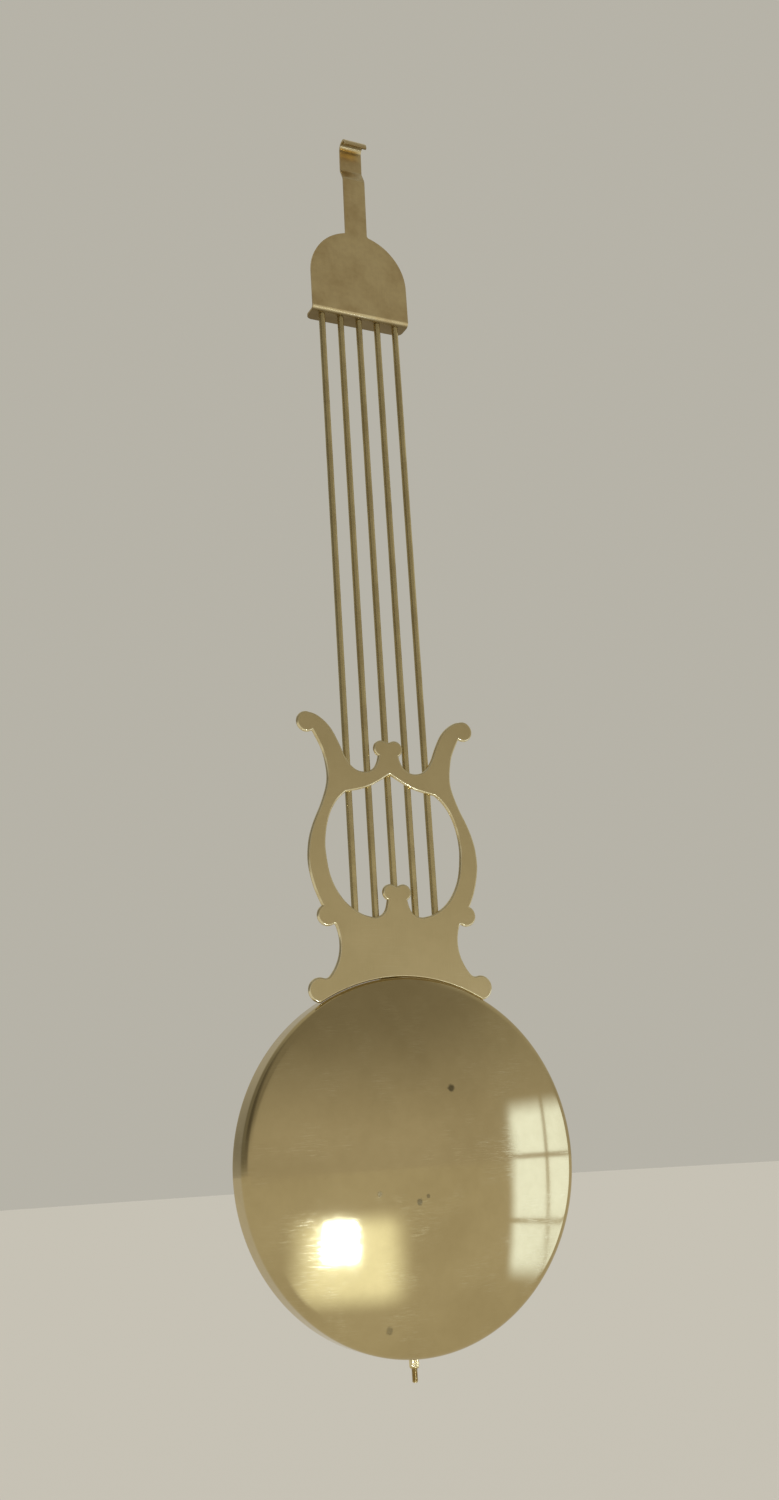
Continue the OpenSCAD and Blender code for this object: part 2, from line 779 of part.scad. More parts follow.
// Two round-head rivets that hold the upper guide. Their tails are flush in the back plate.
module guide_rivets() {
    head_r = rivet_d * 0.95;
    head_h = rivet_d * 0.5;
    ball_r = (head_r * head_r + head_h * head_h) / (2 * head_h);
    head_y0 = plate_back_y + guide_t;
    color("#b39d58")
        for (side = [-1, 1])
            translate([side * guide_rivet_x, 0, bob_z + guide_rise]) {
                disc(rivet_d / 2, plate_y, head_y0 + eps);
                intersection() {
                    translate([0, head_y0 + head_h - ball_r, 0])
                        sphere(r = ball_r);
                    disc(head_r, head_y0, head_y0 + 2 * head_h);
                }
            }
}

// The block low on the bob's back, bored for the rating screw. The nut carries it from below.
module guide_block() {
    rim_r = bob_r - shell_t - rim_w;
    foot_z = bob_z - sqrt(rim_r * rim_r - pow(guide_block_w / 2, 2)) + nose_below;
    nose_y = bob_back_y + hole_play;
    color("#957f49")
        difference() {
            union() {
                translate([-guide_block_w / 2, plate_back_y, foot_z])
                    cube([guide_block_w, block_back_y - plate_back_y, block_top_z - foot_z]);
                translate([-nose_w / 2, nose_y, nose_z])
                    cube([nose_w, block_back_y - nose_y, foot_z - nose_z + eps]);
            }
            translate([0, screw_y, nose_z - eps])
                cylinder(r = screw_d / 2 + screw_play, h = guide_block_h + 2 * eps);
            for (side = [-1, 1])
                translate([side * block_screw_x, 0, block_screw_z])
                    disc(block_screw_d / 2 + hole_play, plate_back_y - eps, block_back_y + eps);
        }
}

// Two slotted screws that hold the guide block on the back plate.
module block_screws() {
    past_plate = 0.6;
    shank = block_back_y - plate_y + past_plate;
    color("#b39d58")
        for (side = [-1, 1])
            translate([side * block_screw_x, 0, block_screw_z])
                cheese_screw(block_back_y, block_screw_d, shank, block_head_d, block_head_h);
}

// The small knurled nut that carries the bob and sets the clock's rate.
module rating_nut() {
    nut_r = nut_d / 2;
    tooth = 180 / knurl_n;
    color("#c0ab60")
        translate([0, screw_y, nut_top_z - nut_h])
            difference() {
                union() {
                    translate([0, 0, collar_h])
                        linear_extrude(nut_h - 2 * collar_h)
                            polygon([for (i = [0:2 * knurl_n - 1])
                                (nut_r - (i % 2) * knurl_depth) * [cos(tooth * i), sin(tooth * i)]]);
                    cylinder(r = nut_r - knurl_depth, h = nut_h);
                }
                translate([0, 0, -eps])
                    cylinder(r = screw_d / 2 + screw_play, h = nut_h + 2 * eps);
            }
}

head_plate();
rod(0);  // rod_outer_left
rod(1);  // rod_inner_left
rod(2);  // rod_centre
rod(3);  // rod_inner_right
rod(4);  // rod_outer_right
lyre_plate();
rod_clamp_bar();
hanger_strap();
strap_screws();
screw_block();
rating_screw();
bob_shell();
bob_back_plate();
bob_weight();
weight_screws();
upper_guide();
guide_rivets();
guide_block();
block_screws();
rating_nut();
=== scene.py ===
"""Looks of a brass lyre pendulum: bright edges, spun bob, cut thread, knurl, solder and tarnish."""

import logging
import math
from dataclasses import dataclass, field
from enum import Enum
from typing import Callable, ClassVar, Sequence

import bmesh
import bpy
from mathutils import Matrix, Vector


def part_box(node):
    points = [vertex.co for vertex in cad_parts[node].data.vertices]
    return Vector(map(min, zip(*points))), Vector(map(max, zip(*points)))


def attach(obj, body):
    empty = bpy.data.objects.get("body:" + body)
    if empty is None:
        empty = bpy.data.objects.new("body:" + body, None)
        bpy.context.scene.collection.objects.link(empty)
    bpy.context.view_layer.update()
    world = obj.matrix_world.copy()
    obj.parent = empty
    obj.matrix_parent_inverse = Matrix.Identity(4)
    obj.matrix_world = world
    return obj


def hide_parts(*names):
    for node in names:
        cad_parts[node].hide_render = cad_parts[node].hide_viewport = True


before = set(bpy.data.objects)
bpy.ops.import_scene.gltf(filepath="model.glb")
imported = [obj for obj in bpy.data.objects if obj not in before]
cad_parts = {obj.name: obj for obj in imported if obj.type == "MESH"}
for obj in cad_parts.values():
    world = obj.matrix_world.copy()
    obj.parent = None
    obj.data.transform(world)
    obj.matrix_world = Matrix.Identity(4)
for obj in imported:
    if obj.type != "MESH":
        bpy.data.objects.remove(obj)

log = logging.getLogger("pendulum")

Colour = tuple[float, float, float]
Point = tuple[float, float, float]
Flat = tuple[float, float]
Mesh = bpy.types.Mesh
Outputs = bpy.types.NodeOutputs
Socket = bpy.types.NodeSocket
Value = float | Sequence[float] | Socket
Place = Callable[[float, float, float], Point]

MM = 0.001
BLACK: Colour = (0.0, 0.0, 0.0)
# Places of the colours among the Mix node's sockets
FIRST_COLOUR, SECOND_COLOUR, MIXED_COLOUR = 6, 7, 2


# Shader trees

class Tree:
    """A shader node tree that is filled node by node."""

    def __init__(self, tree: bpy.types.NodeTree) -> None:
        """Keeps the node tree of a material, a world or a group."""
        self.tree = tree

    def node(self, kind: str, values: dict[str | int, Value] | None = None,
             **settings: object) -> bpy.types.Node:
        """Adds a node.

        Args:
            kind: Blender's name of the node type.
            values: what goes into its inputs: a number, a colour, or another node's output.
            settings: the node's own options.

        Returns:
            The new node.
        """
        made = self.tree.nodes.new(kind)
        for name, value in settings.items():
            setattr(made, name, value)
        for key, value in (values or {}).items():
            socket = made.inputs[key]
            if isinstance(value, Socket):
                self.tree.links.new(value, socket)
            else:
                socket.default_value = value
        return made

    def math(self, operation: str, a: Value, b: Value = 0.0, clamp: bool = False) -> Socket:
        """Adds a sum, product or other operation on numbers.

        Args:
            operation: Blender's name of the operation.
            a: the first number.
            b: the second number.
            clamp: whether the answer is kept between 0 and 1.

        Returns:
            The answer's socket.
        """
        return self.node("ShaderNodeMath", {0: a, 1: b}, operation=operation,
                         use_clamp=clamp).outputs[0]

    def times(self, a: Value, b: Value, clamp: bool = False) -> Socket:
        """The product of two numbers."""
        return self.math("MULTIPLY", a, b, clamp)

    def spread(self, value: Value, low: float, high: float, to_low: Value = 0.0,
               to_high: Value = 1.0) -> Socket:
        """Maps a range of numbers smoothly on another range.

        Args:
            value: the number.
            low: start of the range that it comes from.
            high: end of that range.
            to_low: what the start becomes.
            to_high: what the end becomes.

        Returns:
            The mapped number's socket.
        """
        return self.node("ShaderNodeMapRange", {0: value, 1: low, 2: high, 3: to_low, 4: to_high},
                         interpolation_type="SMOOTHSTEP").outputs[0]

    def mix(self, share: Value, first: Value, second: Value) -> Socket:
        """Mixes two colours.

        Args:
            share: share of the second colour.
            first: the first colour.
            second: the second colour.

        Returns:
            The mixed colour's socket.
        """
        made = self.node("ShaderNodeMix", {0: share}, data_type="RGBA")
        for index, value in ((FIRST_COLOUR, first), (SECOND_COLOUR, second)):
            if isinstance(value, Socket):
                self.tree.links.new(value, made.inputs[index])
            else:
                made.inputs[index].default_value = (*value, 1.0)
        return made.outputs[MIXED_COLOUR]

    def noise(self, where: Value, scale: Value, detail: float = 3.0,
              dimensions: str = "3D") -> Socket:
        """Adds a noise pattern.

        Args:
            where: the place in the pattern, or a single number for a pattern along a line.
            scale: how fine the pattern is.
            detail: how many finer layers it has.
            dimensions: "3D" or "1D".

        Returns:
            The pattern's socket, about 0.3 to 0.7.
        """
        made = self.node("ShaderNodeTexNoise", {"Scale": scale, "Detail": detail},
                         noise_dimensions=dimensions)
        self.tree.links.new(where, made.inputs["W" if dimensions == "1D" else "Vector"])
        return made.outputs[0]

    def place(self) -> Socket:
        """The place on the object, in metres of the pendulum's own frame."""
        return self.node("ShaderNodeTexCoord").outputs["Object"]

    def parts(self, vector: Value) -> Outputs:
        """The X, Y and Z of a vector."""
        return self.node("ShaderNodeSeparateXYZ", {0: vector}).outputs


def empty_tree(owner: bpy.types.Material | bpy.types.World) -> Tree:
    """Gives a material or a world an empty node tree.

    Args:
        owner: the material or the world.

    Returns:
        The tree.
    """
    owner.use_nodes = True
    owner.node_tree.nodes.clear()
    return Tree(owner.node_tree)


# Effects that several finishes share

class Effect:
    """A node group that several materials use, built once."""

    title: ClassVar[str] = "Effect"
    takes: ClassVar[dict[str, tuple[str, object]]] = {}
    gives: ClassVar[dict[str, str]] = {}

    def group(self) -> bpy.types.NodeTree:
        """Finds the group, or builds it the first time.

        Returns:
            The node group.
        """
        found = bpy.data.node_groups.get(self.title)
        if found:
            return found
        made = bpy.data.node_groups.new(self.title, "ShaderNodeTree")
        for name, (kind, default) in self.takes.items():
            socket = made.interface.new_socket(name, in_out="INPUT", socket_type=kind)
            socket.default_value = default
        for name, kind in self.gives.items():
            made.interface.new_socket(name, in_out="OUTPUT", socket_type=kind)
        tree = Tree(made)
        start, end = tree.node("NodeGroupInput"), tree.node("NodeGroupOutput")
        for name, socket in self.fill(tree, start.outputs).items():
            made.links.new(socket, end.inputs[name])
        return made

    def fill(self, tree: Tree, given: Outputs) -> dict[str, Socket]:
        """Adds the group's own nodes.

        Args:
            tree: the group's tree.
            given: the group's inputs.

        Returns:
            The sockets that the group puts out, by name.
        """
        raise NotImplementedError

    def use(self, tree: Tree, **values: Value) -> Outputs:
        """Places the group in a material.

        Args:
            tree: the material's tree.
            values: the group's inputs.

        Returns:
            The placed group's outputs.
        """
        node = tree.node("ShaderNodeGroup", node_tree=self.group())
        for name, value in values.items():
            socket = node.inputs[name]
            if isinstance(value, Socket):
                tree.tree.links.new(value, socket)
            elif socket.type == "RGBA":
                socket.default_value = (*value, 1.0)
            else:
                socket.default_value = value
        return node.outputs


class Tarnish(Effect):
    """Uneven patches where the metal has dulled, with a fine mottle inside them."""

    title = "Tarnish"
    takes = {"Clean": ("NodeSocketColor", (0.5, 0.4, 0.2, 1)),
             "Dull": ("NodeSocketColor", (0.3, 0.2, 0.1, 1)),
             "Patch": ("NodeSocketFloat", 0.03), "Amount": ("NodeSocketFloat", 0.5)}
    gives = {"Colour": "NodeSocketColor", "Mask": "NodeSocketFloat"}
    patch_range: ClassVar[Flat] = (0.38, 0.66)
    mottle_range: ClassVar[Flat] = (0.3, 0.75)
    mottle_fineness: ClassVar[float] = 9.0
    patch_share: ClassVar[float] = 0.72
    mottle_share: ClassVar[float] = 0.28

    def fill(self, tree: Tree, given: Outputs) -> dict[str, Socket]:
        """Mixes the two colours by coarse and fine noise.

        Args:
            tree: the group's tree.
            given: the group's inputs.

        Returns:
            The tarnished colour, and how dull the place is.
        """
        scale = tree.math("DIVIDE", 1.0, given["Patch"])
        fine_scale = tree.times(scale, self.mottle_fineness)
        coarse = tree.spread(tree.noise(tree.place(), scale, detail=4.0), *self.patch_range)
        fine_noise = tree.noise(tree.place(), fine_scale, detail=6.0)
        fine = tree.spread(fine_noise, *self.mottle_range)
        both = tree.math("ADD", tree.times(coarse, self.patch_share),
                         tree.times(fine, self.mottle_share))
        mask = tree.times(both, given["Amount"], clamp=True)
        return {"Colour": tree.mix(mask, given["Clean"], given["Dull"]), "Mask": mask}


class Scratches(Effect):
    """Thin straight scratches in three directions, in patches."""

    title = "Scratches"
    takes = {"Length": ("NodeSocketFloat", 0.02), "Amount": ("NodeSocketFloat", 0.5)}
    gives = {"Mask": "NodeSocketFloat"}
    turns_and_starts: ClassVar[tuple[Flat, ...]] = ((0.5, 0.13), (1.35, 0.37), (2.4, 0.71))
    lean: ClassVar[Flat] = (0.2, 0.1)
    thinness: ClassVar[float] = 40.0
    line_range: ClassVar[Flat] = (0.62, 0.68)
    patch_range: ClassVar[Flat] = (0.45, 0.66)
    patch_fineness: ClassVar[float] = 0.35

    def fill(self, tree: Tree, given: Outputs) -> dict[str, Socket]:
        """Cuts thin lines out of noise that is stretched along each direction.

        Args:
            tree: the group's tree.
            given: the group's inputs.

        Returns:
            Where the scratches are.
        """
        scale = tree.math("DIVIDE", 1.0, given["Length"])
        total: Value = 0.0
        for turn, start in self.turns_and_starts:
            turned_place = tree.node("ShaderNodeMapping", {
                "Vector": tree.place(), "Rotation": (self.lean[0], turn, self.lean[1]),
                "Location": (start, start, start), "Scale": (1, 1, self.thinness)}).outputs[0]
            lines = tree.noise(turned_place, scale, detail=1.5)
            total = tree.math("ADD", total, tree.spread(lines, *self.line_range))
        patch_noise = tree.noise(tree.place(), tree.times(scale, self.patch_fineness))
        shown = tree.times(total, tree.spread(patch_noise, *self.patch_range))
        return {"Mask": tree.times(shown, given["Amount"], clamp=True)}


class ToolMarks(Effect):
    """Fine lines that a tool or a roller leaves, across a measured distance."""

    title = "Tool marks"
    takes = {"Across": ("NodeSocketFloat", 0.0), "Spacing": ("NodeSocketFloat", 0.0004)}
    gives = {"Height": "NodeSocketFloat"}
    patch_scale: ClassVar[float] = 60.0
    patch_range: ClassVar[Flat] = (0.3, 0.7)
    least: ClassVar[float] = 0.4

    def fill(self, tree: Tree, given: Outputs) -> dict[str, Socket]:
        """Reads noise along one line, broken up by noise in space.

        Args:
            tree: the group's tree.
            given: the group's inputs.

        Returns:
            The lines' height.
        """
        scale = tree.math("DIVIDE", 1.0, given["Spacing"])
        lines = tree.noise(tree.times(given["Across"], scale), 1.0, detail=2.0, dimensions="1D")
        patches = tree.noise(tree.place(), self.patch_scale, detail=2.0)
        strength = tree.spread(patches, *self.patch_range, self.least, 1.0)
        return {"Height": tree.times(lines, strength)}


class RingDistance(Effect):
    """Distance from the axis that the bob is turned on, which runs front to back."""

    title = "Ring distance"
    takes = {"Centre": ("NodeSocketVector", (0, 0, 0))}
    gives = {"Distance": "NodeSocketFloat"}

    def fill(self, tree: Tree, given: Outputs) -> dict[str, Socket]:
        """Measures from the centre with the depth left out.

        Args:
            tree: the group's tree.
            given: the group's inputs.

        Returns:
            The distance.
        """
        offset = tree.node("ShaderNodeVectorMath", {0: tree.place(), 1: given["Centre"]},
                           operation="SUBTRACT")
        flat = tree.node("ShaderNodeVectorMath", {0: offset.outputs[0], 1: (1, 0, 1)},
                         operation="MULTIPLY")
        length = tree.node("ShaderNodeVectorMath", {0: flat.outputs[0]}, operation="LENGTH")
        return {"Distance": length.outputs["Value"]}


class EdgeWear(Effect):
    """Rubbed metal along the broken edges, and a painted highlight on the faces round folds."""

    title = "Edge wear"
    takes = {"Amount": ("NodeSocketFloat", 0.5)}
    gives = {"Mask": "NodeSocketFloat"}
    patch_scale: ClassVar[float] = 220.0
    patch_range: ClassVar[Flat] = (0.34, 0.6)
    least: ClassVar[float] = 0.35

    def fill(self, tree: Tree, given: Outputs) -> dict[str, Socket]:
        """Takes the mark that the faces of broken edges carry and breaks it up.

        Args:
            tree: the group's tree.
            given: the group's inputs.

        Returns:
            Where the metal is rubbed, and where the faces round folds carry the painted highlight.
        """
        mark = tree.node("ShaderNodeAttribute", attribute_name="edge").outputs["Fac"]
        patches = tree.noise(tree.place(), self.patch_scale, detail=4.0)
        rubbed = tree.spread(patches, *self.patch_range, self.least, 1.0)
        return {"Mask": tree.times(tree.times(mark, rubbed), given["Amount"], clamp=True)}


class Spot(Effect):
    """A small round stain with an uneven rim."""

    title = "Spot"
    takes = {"Centre": ("NodeSocketVector", (0, 0, 0)), "Radius": ("NodeSocketFloat", 0.001)}
    gives = {"Mask": "NodeSocketFloat"}
    rim_scale: ClassVar[float] = 700.0
    rim_depth: ClassVar[float] = 0.8
    fade: ClassVar[Flat] = (0.9, 1.5)

    def fill(self, tree: Tree, given: Outputs) -> dict[str, Socket]:
        """Fades out from the centre, with the distance made uneven by noise.

        Args:
            tree: the group's tree.
            given: the group's inputs.

        Returns:
            Where the stain is.
        """
        gap = tree.node("ShaderNodeVectorMath", {0: tree.place(), 1: given["Centre"]},
                        operation="DISTANCE")
        share = tree.math("DIVIDE", gap.outputs["Value"], given["Radius"])
        ragged = tree.times(tree.noise(tree.place(), self.rim_scale), self.rim_depth)
        return {"Mask": tree.spread(tree.math("ADD", share, ragged), *self.fade, 1.0, 0.0)}


# Finishes

class Grain(Enum):
    """How a surface was worked, which gives the run of its fine lines."""

    ROLLED = "rolled sheet, lines along its length"
    DRAWN = "drawn rod, lines along the rod"
    SPUN = "spun or turned round the bob's axis, lines as rings"
    TURNED = "turned round an upright axis, lines as level rings"
    CAST = "cast, no lines"


@dataclass(frozen=True)
class Stain:
    """A dark spot on a surface."""

    centre: Point
    radius: float
    depth: float


@dataclass(frozen=True)
class Finish:
    """A metal finish: its colours, its gloss, the lines of its making, and its wear.

    Lengths are in metres, but grain_height and waves, the heights of the fine lines and of the
    slow waves, are in millimetres. patch is the size of a patch of tarnish, and spacing the gap
    between fine lines. brushed draws the gloss out, and below paints shade on faces that look
    down, darkening them towards a share of the dull colour.
    edge_polish is the share of its roughness that a worn edge loses. slot is the record's
    material slot, if it has one for the finish; it is not used.
    """

    name: str
    slot: str | None
    clean: Colour
    dull: Colour
    rubbed: Colour
    roughness: float
    dull_roughness: float
    patch: float
    tarnish: float
    grain: Grain = Grain.ROLLED
    spacing: float = 0.0004
    grain_height: float = 0.001
    centre: Point = (0.0, 0.0, 0.0)
    scratch_length: float = 0.012
    scratches: float = 0.4
    wear: float = 0.6
    edge_polish: float = 0.4
    waves: float = 0.0
    wave_length: float = 0.02
    stains: tuple[Stain, ...] = ()
    grain_colour: float = 0.12
    brushed: float = 0.0
    below: float = 0.0

    line_range: ClassVar[Flat] = (0.3, 0.62)
    line_slant: ClassVar[float] = 1.7
    scratch_shine: ClassVar[float] = 0.5
    scratch_roughness: ClassVar[float] = 0.18
    scratch_depth: ClassVar[float] = 0.002
    stain_shade: ClassVar[float] = 0.22
    stain_roughness: ClassVar[float] = 0.25
    below_shade: ClassVar[float] = 0.3
    underside_shade_range: ClassVar[Flat] = (-0.9, -0.5)

    def material(self) -> bpy.types.Material:
        """Finds the material, or builds it the first time.

        Returns:
            The material.
        """
        found = bpy.data.materials.get(self.name)
        if found:
            return found
        made = bpy.data.materials.new(self.name)
        tree = empty_tree(made)
        tarnish = Tarnish().use(tree, Clean=self.clean, Dull=self.dull, Patch=self.patch,
                                Amount=self.tarnish)
        scratches = Scratches().use(tree, Length=self.scratch_length,
                                    Amount=self.scratches)["Mask"]
        worn = EdgeWear().use(tree, Amount=self.wear)["Mask"]
        lines = self.lines(tree)
        line_tint = tree.spread(lines, *self.line_range, 0.0, self.grain_colour)
        colour = tree.mix(line_tint, tarnish["Colour"], self.dull)
        colour = tree.mix(tree.times(scratches, self.scratch_shine), colour, self.rubbed)
        colour = tree.mix(worn, colour, self.rubbed)
        # Painted shade: faces that look down are darkened towards a share of the dull colour
        if self.below:
            upward = tree.parts(tree.node("ShaderNodeNewGeometry").outputs["Normal"])[2]
            under = tree.times(tree.spread(upward, *self.underside_shade_range, 1.0, 0.0), self.below)
            colour = tree.mix(under, colour, self.shaded(self.below_shade))
        rough = tree.spread(tarnish["Mask"], 0.0, 1.0, self.roughness, self.dull_roughness)
        rough = tree.math("ADD", rough, tree.times(scratches, self.scratch_roughness))
        polish = tree.times(worn, self.roughness * self.edge_polish)
        rough = tree.math("SUBTRACT", rough, polish)
        for stain in self.stains:
            mask = Spot().use(tree, Centre=stain.centre, Radius=stain.radius)["Mask"]
            shown = tree.times(mask, stain.depth)
            colour = tree.mix(shown, colour, self.shaded(self.stain_shade))
            rough = tree.math("ADD", rough, tree.times(shown, self.stain_roughness))
        shader = tree.node("ShaderNodeBsdfPrincipled", {
            "Base Color": colour, "Roughness": rough, "Metallic": 1.0, "Anisotropic": self.brushed,
            "Normal": self.relief(tree, lines, scratches)})
        output = tree.node("ShaderNodeOutputMaterial", {"Surface": shader.outputs[0]})
        output.is_active_output = True
        return made

    def shaded(self, share: float) -> Colour:
        """A share of the dull colour."""
        return tuple(share * part for part in self.dull)

    def relief(self, tree: Tree, lines: Value, scratches: Value) -> Socket:
        """The fine relief: tool lines and slow waves stand out, and scratches are cut in.

        Args:
            tree: the material's tree.
            lines: the lines' height.
            scratches: where the scratches are.

        Returns:
            The bumped normal.
        """
        height = tree.times(lines, self.grain_height)
        height = tree.math("SUBTRACT", height, tree.times(scratches, self.scratch_depth))
        waves = tree.noise(tree.place(), 1.0 / self.wave_length, detail=1.0)
        height = tree.math("ADD", height, tree.times(waves, self.waves))
        bump = tree.node("ShaderNodeBump", {"Height": height, "Distance": MM, "Strength": 1.0})
        return bump.outputs[0]

    def lines(self, tree: Tree) -> Socket:
        """The fine lines of the making.

        Args:
            tree: the material's tree.

        Returns:
            The lines' height, about 0.2 to 0.7.
        """
        if self.grain is Grain.CAST:
            return tree.noise(tree.place(), 1.0 / self.spacing, detail=5.0)
        if self.grain is Grain.SPUN:
            across = RingDistance().use(tree, Centre=self.centre)["Distance"]
        elif self.grain is Grain.TURNED:
            across = tree.parts(tree.place())[2]
        else:
            parts = tree.parts(tree.place())
            across = tree.math("ADD", parts[0], tree.times(parts[1], self.line_slant))
        return ToolMarks().use(tree, Across=across, Spacing=self.spacing)["Height"]


# Rubbed brass: real wear, made paler than bare brass so that rubbed edges, scratches and folds also
# carry a painted highlight
BRIGHT: Colour = (0.92, 0.83, 0.55)
BOB_CENTRE: Point = (0.0, 0.0, -0.4765)

# The head plate's below setting paints shade on its down-facing faces: the lip's underside and the
# hook's inside
HEAD_BRASS = Finish(
    "head plate brass", "sheet_brass", (0.88, 0.72, 0.39), (0.59, 0.43, 0.2), BRIGHT,
    roughness=0.32, dull_roughness=0.44, patch=0.022, tarnish=0.75, spacing=0.0005,
    grain_height=0.0008, scratches=0.25, waves=0.05, edge_polish=0.6, brushed=0.8, below=0.9)

ROD_BRASS = Finish(
    "drawn rod brass", "rod_brass", (0.72, 0.60, 0.31), (0.42, 0.33, 0.155), BRIGHT,
    roughness=0.2, dull_roughness=0.4, patch=0.012, tarnish=0.75, grain=Grain.DRAWN,
    spacing=0.0003, grain_height=0.0005, scratch_length=0.008, scratches=0.2, grain_colour=0.06)

LYRE_BRASS = Finish(
    "stamped lyre brass", "lyre_brass", (0.705, 0.58, 0.31), (0.56, 0.45, 0.22), BRIGHT,
    roughness=0.33, dull_roughness=0.4, patch=0.05, tarnish=0.5, spacing=0.0005,
    grain_height=0.0006, scratches=0.15, wear=0.9, edge_polish=0.8, waves=0.03, wave_length=0.03,
    brushed=0.6)

BOB_BRASS = Finish(
    "polished bob brass", "bob_brass", (0.61, 0.495, 0.26), (0.47, 0.37, 0.18), BRIGHT,
    roughness=0.05, dull_roughness=0.15, patch=0.035, tarnish=0.5, grain=Grain.SPUN,
    centre=BOB_CENTRE, spacing=0.0006, grain_height=0.00025, scratch_length=0.006, scratches=0.4,
    waves=0.004, wave_length=0.03, grain_colour=0.05,
    stains=(Stain((0.0146, -0.0063, -0.4481), radius=0.0018, depth=0.85),
            Stain((-0.0035, -0.0073, -0.4917), radius=0.0016, depth=0.7),
            Stain((0.0003, -0.0074, -0.4897), radius=0.001, depth=0.6),
            Stain((-0.0207, -0.0069, -0.4875), radius=0.0013, depth=0.5),
            Stain((-0.0177, -0.0023, -0.5389), radius=0.0018, depth=0.5)))

BACK_BRASS = Finish(
    "dull back brass", "back_brass", (0.46, 0.35, 0.15), (0.28, 0.2, 0.08), BRIGHT,
    roughness=0.38, dull_roughness=0.55, patch=0.012, tarnish=0.8, spacing=0.0003,
    grain_height=0.0015, scratch_length=0.006, scratches=0.5)

SCREW_BRASS = Finish(
    "turned screw brass", "screw_brass", (0.6, 0.47, 0.21), (0.36, 0.26, 0.1), BRIGHT,
    roughness=0.26, dull_roughness=0.42, patch=0.004, tarnish=0.6, grain=Grain.SPUN,
    centre=BOB_CENTRE, spacing=0.00012, grain_height=0.0008, scratch_length=0.003)

NUT_BRASS = Finish(
    "knurled nut brass", "nut_brass", (0.68, 0.55, 0.26), (0.42, 0.31, 0.12), BRIGHT,
    roughness=0.22, dull_roughness=0.4, patch=0.003, tarnish=0.5, grain=Grain.TURNED,
    spacing=0.0001, grain_height=0.0008, scratch_length=0.002, wear=0.65)

BACK_SHEET = Finish(
    "dark back sheet", "back_steel", (0.24, 0.22, 0.19), (0.12, 0.1, 0.08), (0.42, 0.4, 0.36),
    roughness=0.42, dull_roughness=0.62, patch=0.03, tarnish=0.8, grain_height=0.002,
    scratch_length=0.015, scratches=0.7, waves=0.04)

IRON = Finish(
    "cast iron weight", None, (0.13, 0.13, 0.14), (0.07, 0.06, 0.05), (0.3, 0.3, 0.3),
    roughness=0.6, dull_roughness=0.75, patch=0.02, tarnish=0.8, grain=Grain.CAST,
    spacing=0.0015, grain_height=0.08, scratches=0.1)

SCREW_STEEL = Finish(
    "turned steel", "screw_steel", (0.42, 0.42, 0.43), (0.2, 0.17, 0.14), (0.62, 0.62, 0.62),
    roughness=0.3, dull_roughness=0.5, patch=0.004, tarnish=0.6, grain=Grain.SPUN,
    centre=BOB_CENTRE, spacing=0.00012, grain_height=0.001, scratch_length=0.003)

SOLDER = Finish(
    "soft solder", None, (0.5, 0.49, 0.47), (0.27, 0.26, 0.25), (0.66, 0.65, 0.63),
    roughness=0.34, dull_roughness=0.55, patch=0.006, tarnish=0.8, grain=Grain.CAST,
    spacing=0.0012, grain_height=0.03, scratches=0.1)


# Meshes

# Corners of a solid nearer than this are one corner, in metres
WELD = 2e-6
# The same for a mesh that is built here
FINE_WELD = 1e-7
# Edges shorter than this are dropped
NO_LENGTH = 1e-8
# A point nearer than this lies on a face
ON_FACE = 1e-6
# How near a corner in a cleft lies to the place that is given for it
CORNER_REACH = 5e-5
# Faces that turn by less than this are one face, in degrees
ONE_FACE = 0.6
# Edges are broken where the faces turn by more than this, in degrees
SHARP = 34.0
# Least forward and upward lean of a face beside a fold, which gets the painted fold highlight
FOLD_LEAN = 0.1
ROLLED_STEPS = 5
BROKEN_STEPS = 2
FLAT_FACE_WEIGHT = 80


def new_piece(name: str, mesh: Mesh, finish: Finish, body: str,
              stands_for: Sequence[str] = ()) -> bpy.types.Object:
    """Puts a mesh in the scene as a piece of the pendulum.

    Args:
        name: the piece's name.
        mesh: its mesh, in the pendulum's frame.
        finish: its finish.
        body: the moving body that it rides on.
        stands_for: the solids that it is shown in place of.

    Returns:
        The new object.
    """
    made = bpy.data.objects.new(name, mesh)
    bpy.context.scene.collection.objects.link(made)
    mesh.materials.clear()
    mesh.materials.append(finish.material())
    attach(made, body)
    if stands_for:
        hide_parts(*stands_for)
    log.info("%s: %d faces, rides on %s", name, len(mesh.polygons), body)
    return made


def finished(work: bmesh.types.BMesh, name: str, sharp: float = 32.0) -> Mesh:
    """Makes a mesh of the work and shades it smooth, apart from its sharp edges.

    Args:
        work: the work, which is freed.
        name: the mesh's name.
        sharp: edges where the faces turn by more than this stay sharp, in degrees.

    Returns:
        The new mesh.
    """
    bmesh.ops.recalc_face_normals(work, faces=work.faces)
    mesh = bpy.data.meshes.new(name)
    work.to_mesh(mesh)
    work.free()
    mesh.polygons.foreach_set("use_smooth", [True] * len(mesh.polygons))
    mesh.set_sharp_from_angle(angle=math.radians(sharp))
    return mesh


def sharp_edges(work: bmesh.types.BMesh) -> list[bmesh.types.BMEdge]:
    """The edges of a mesh that are broken."""
    return [e for e in work.edges if e.is_manifold and e.calc_face_angle(0.0) > math.radians(SHARP)]


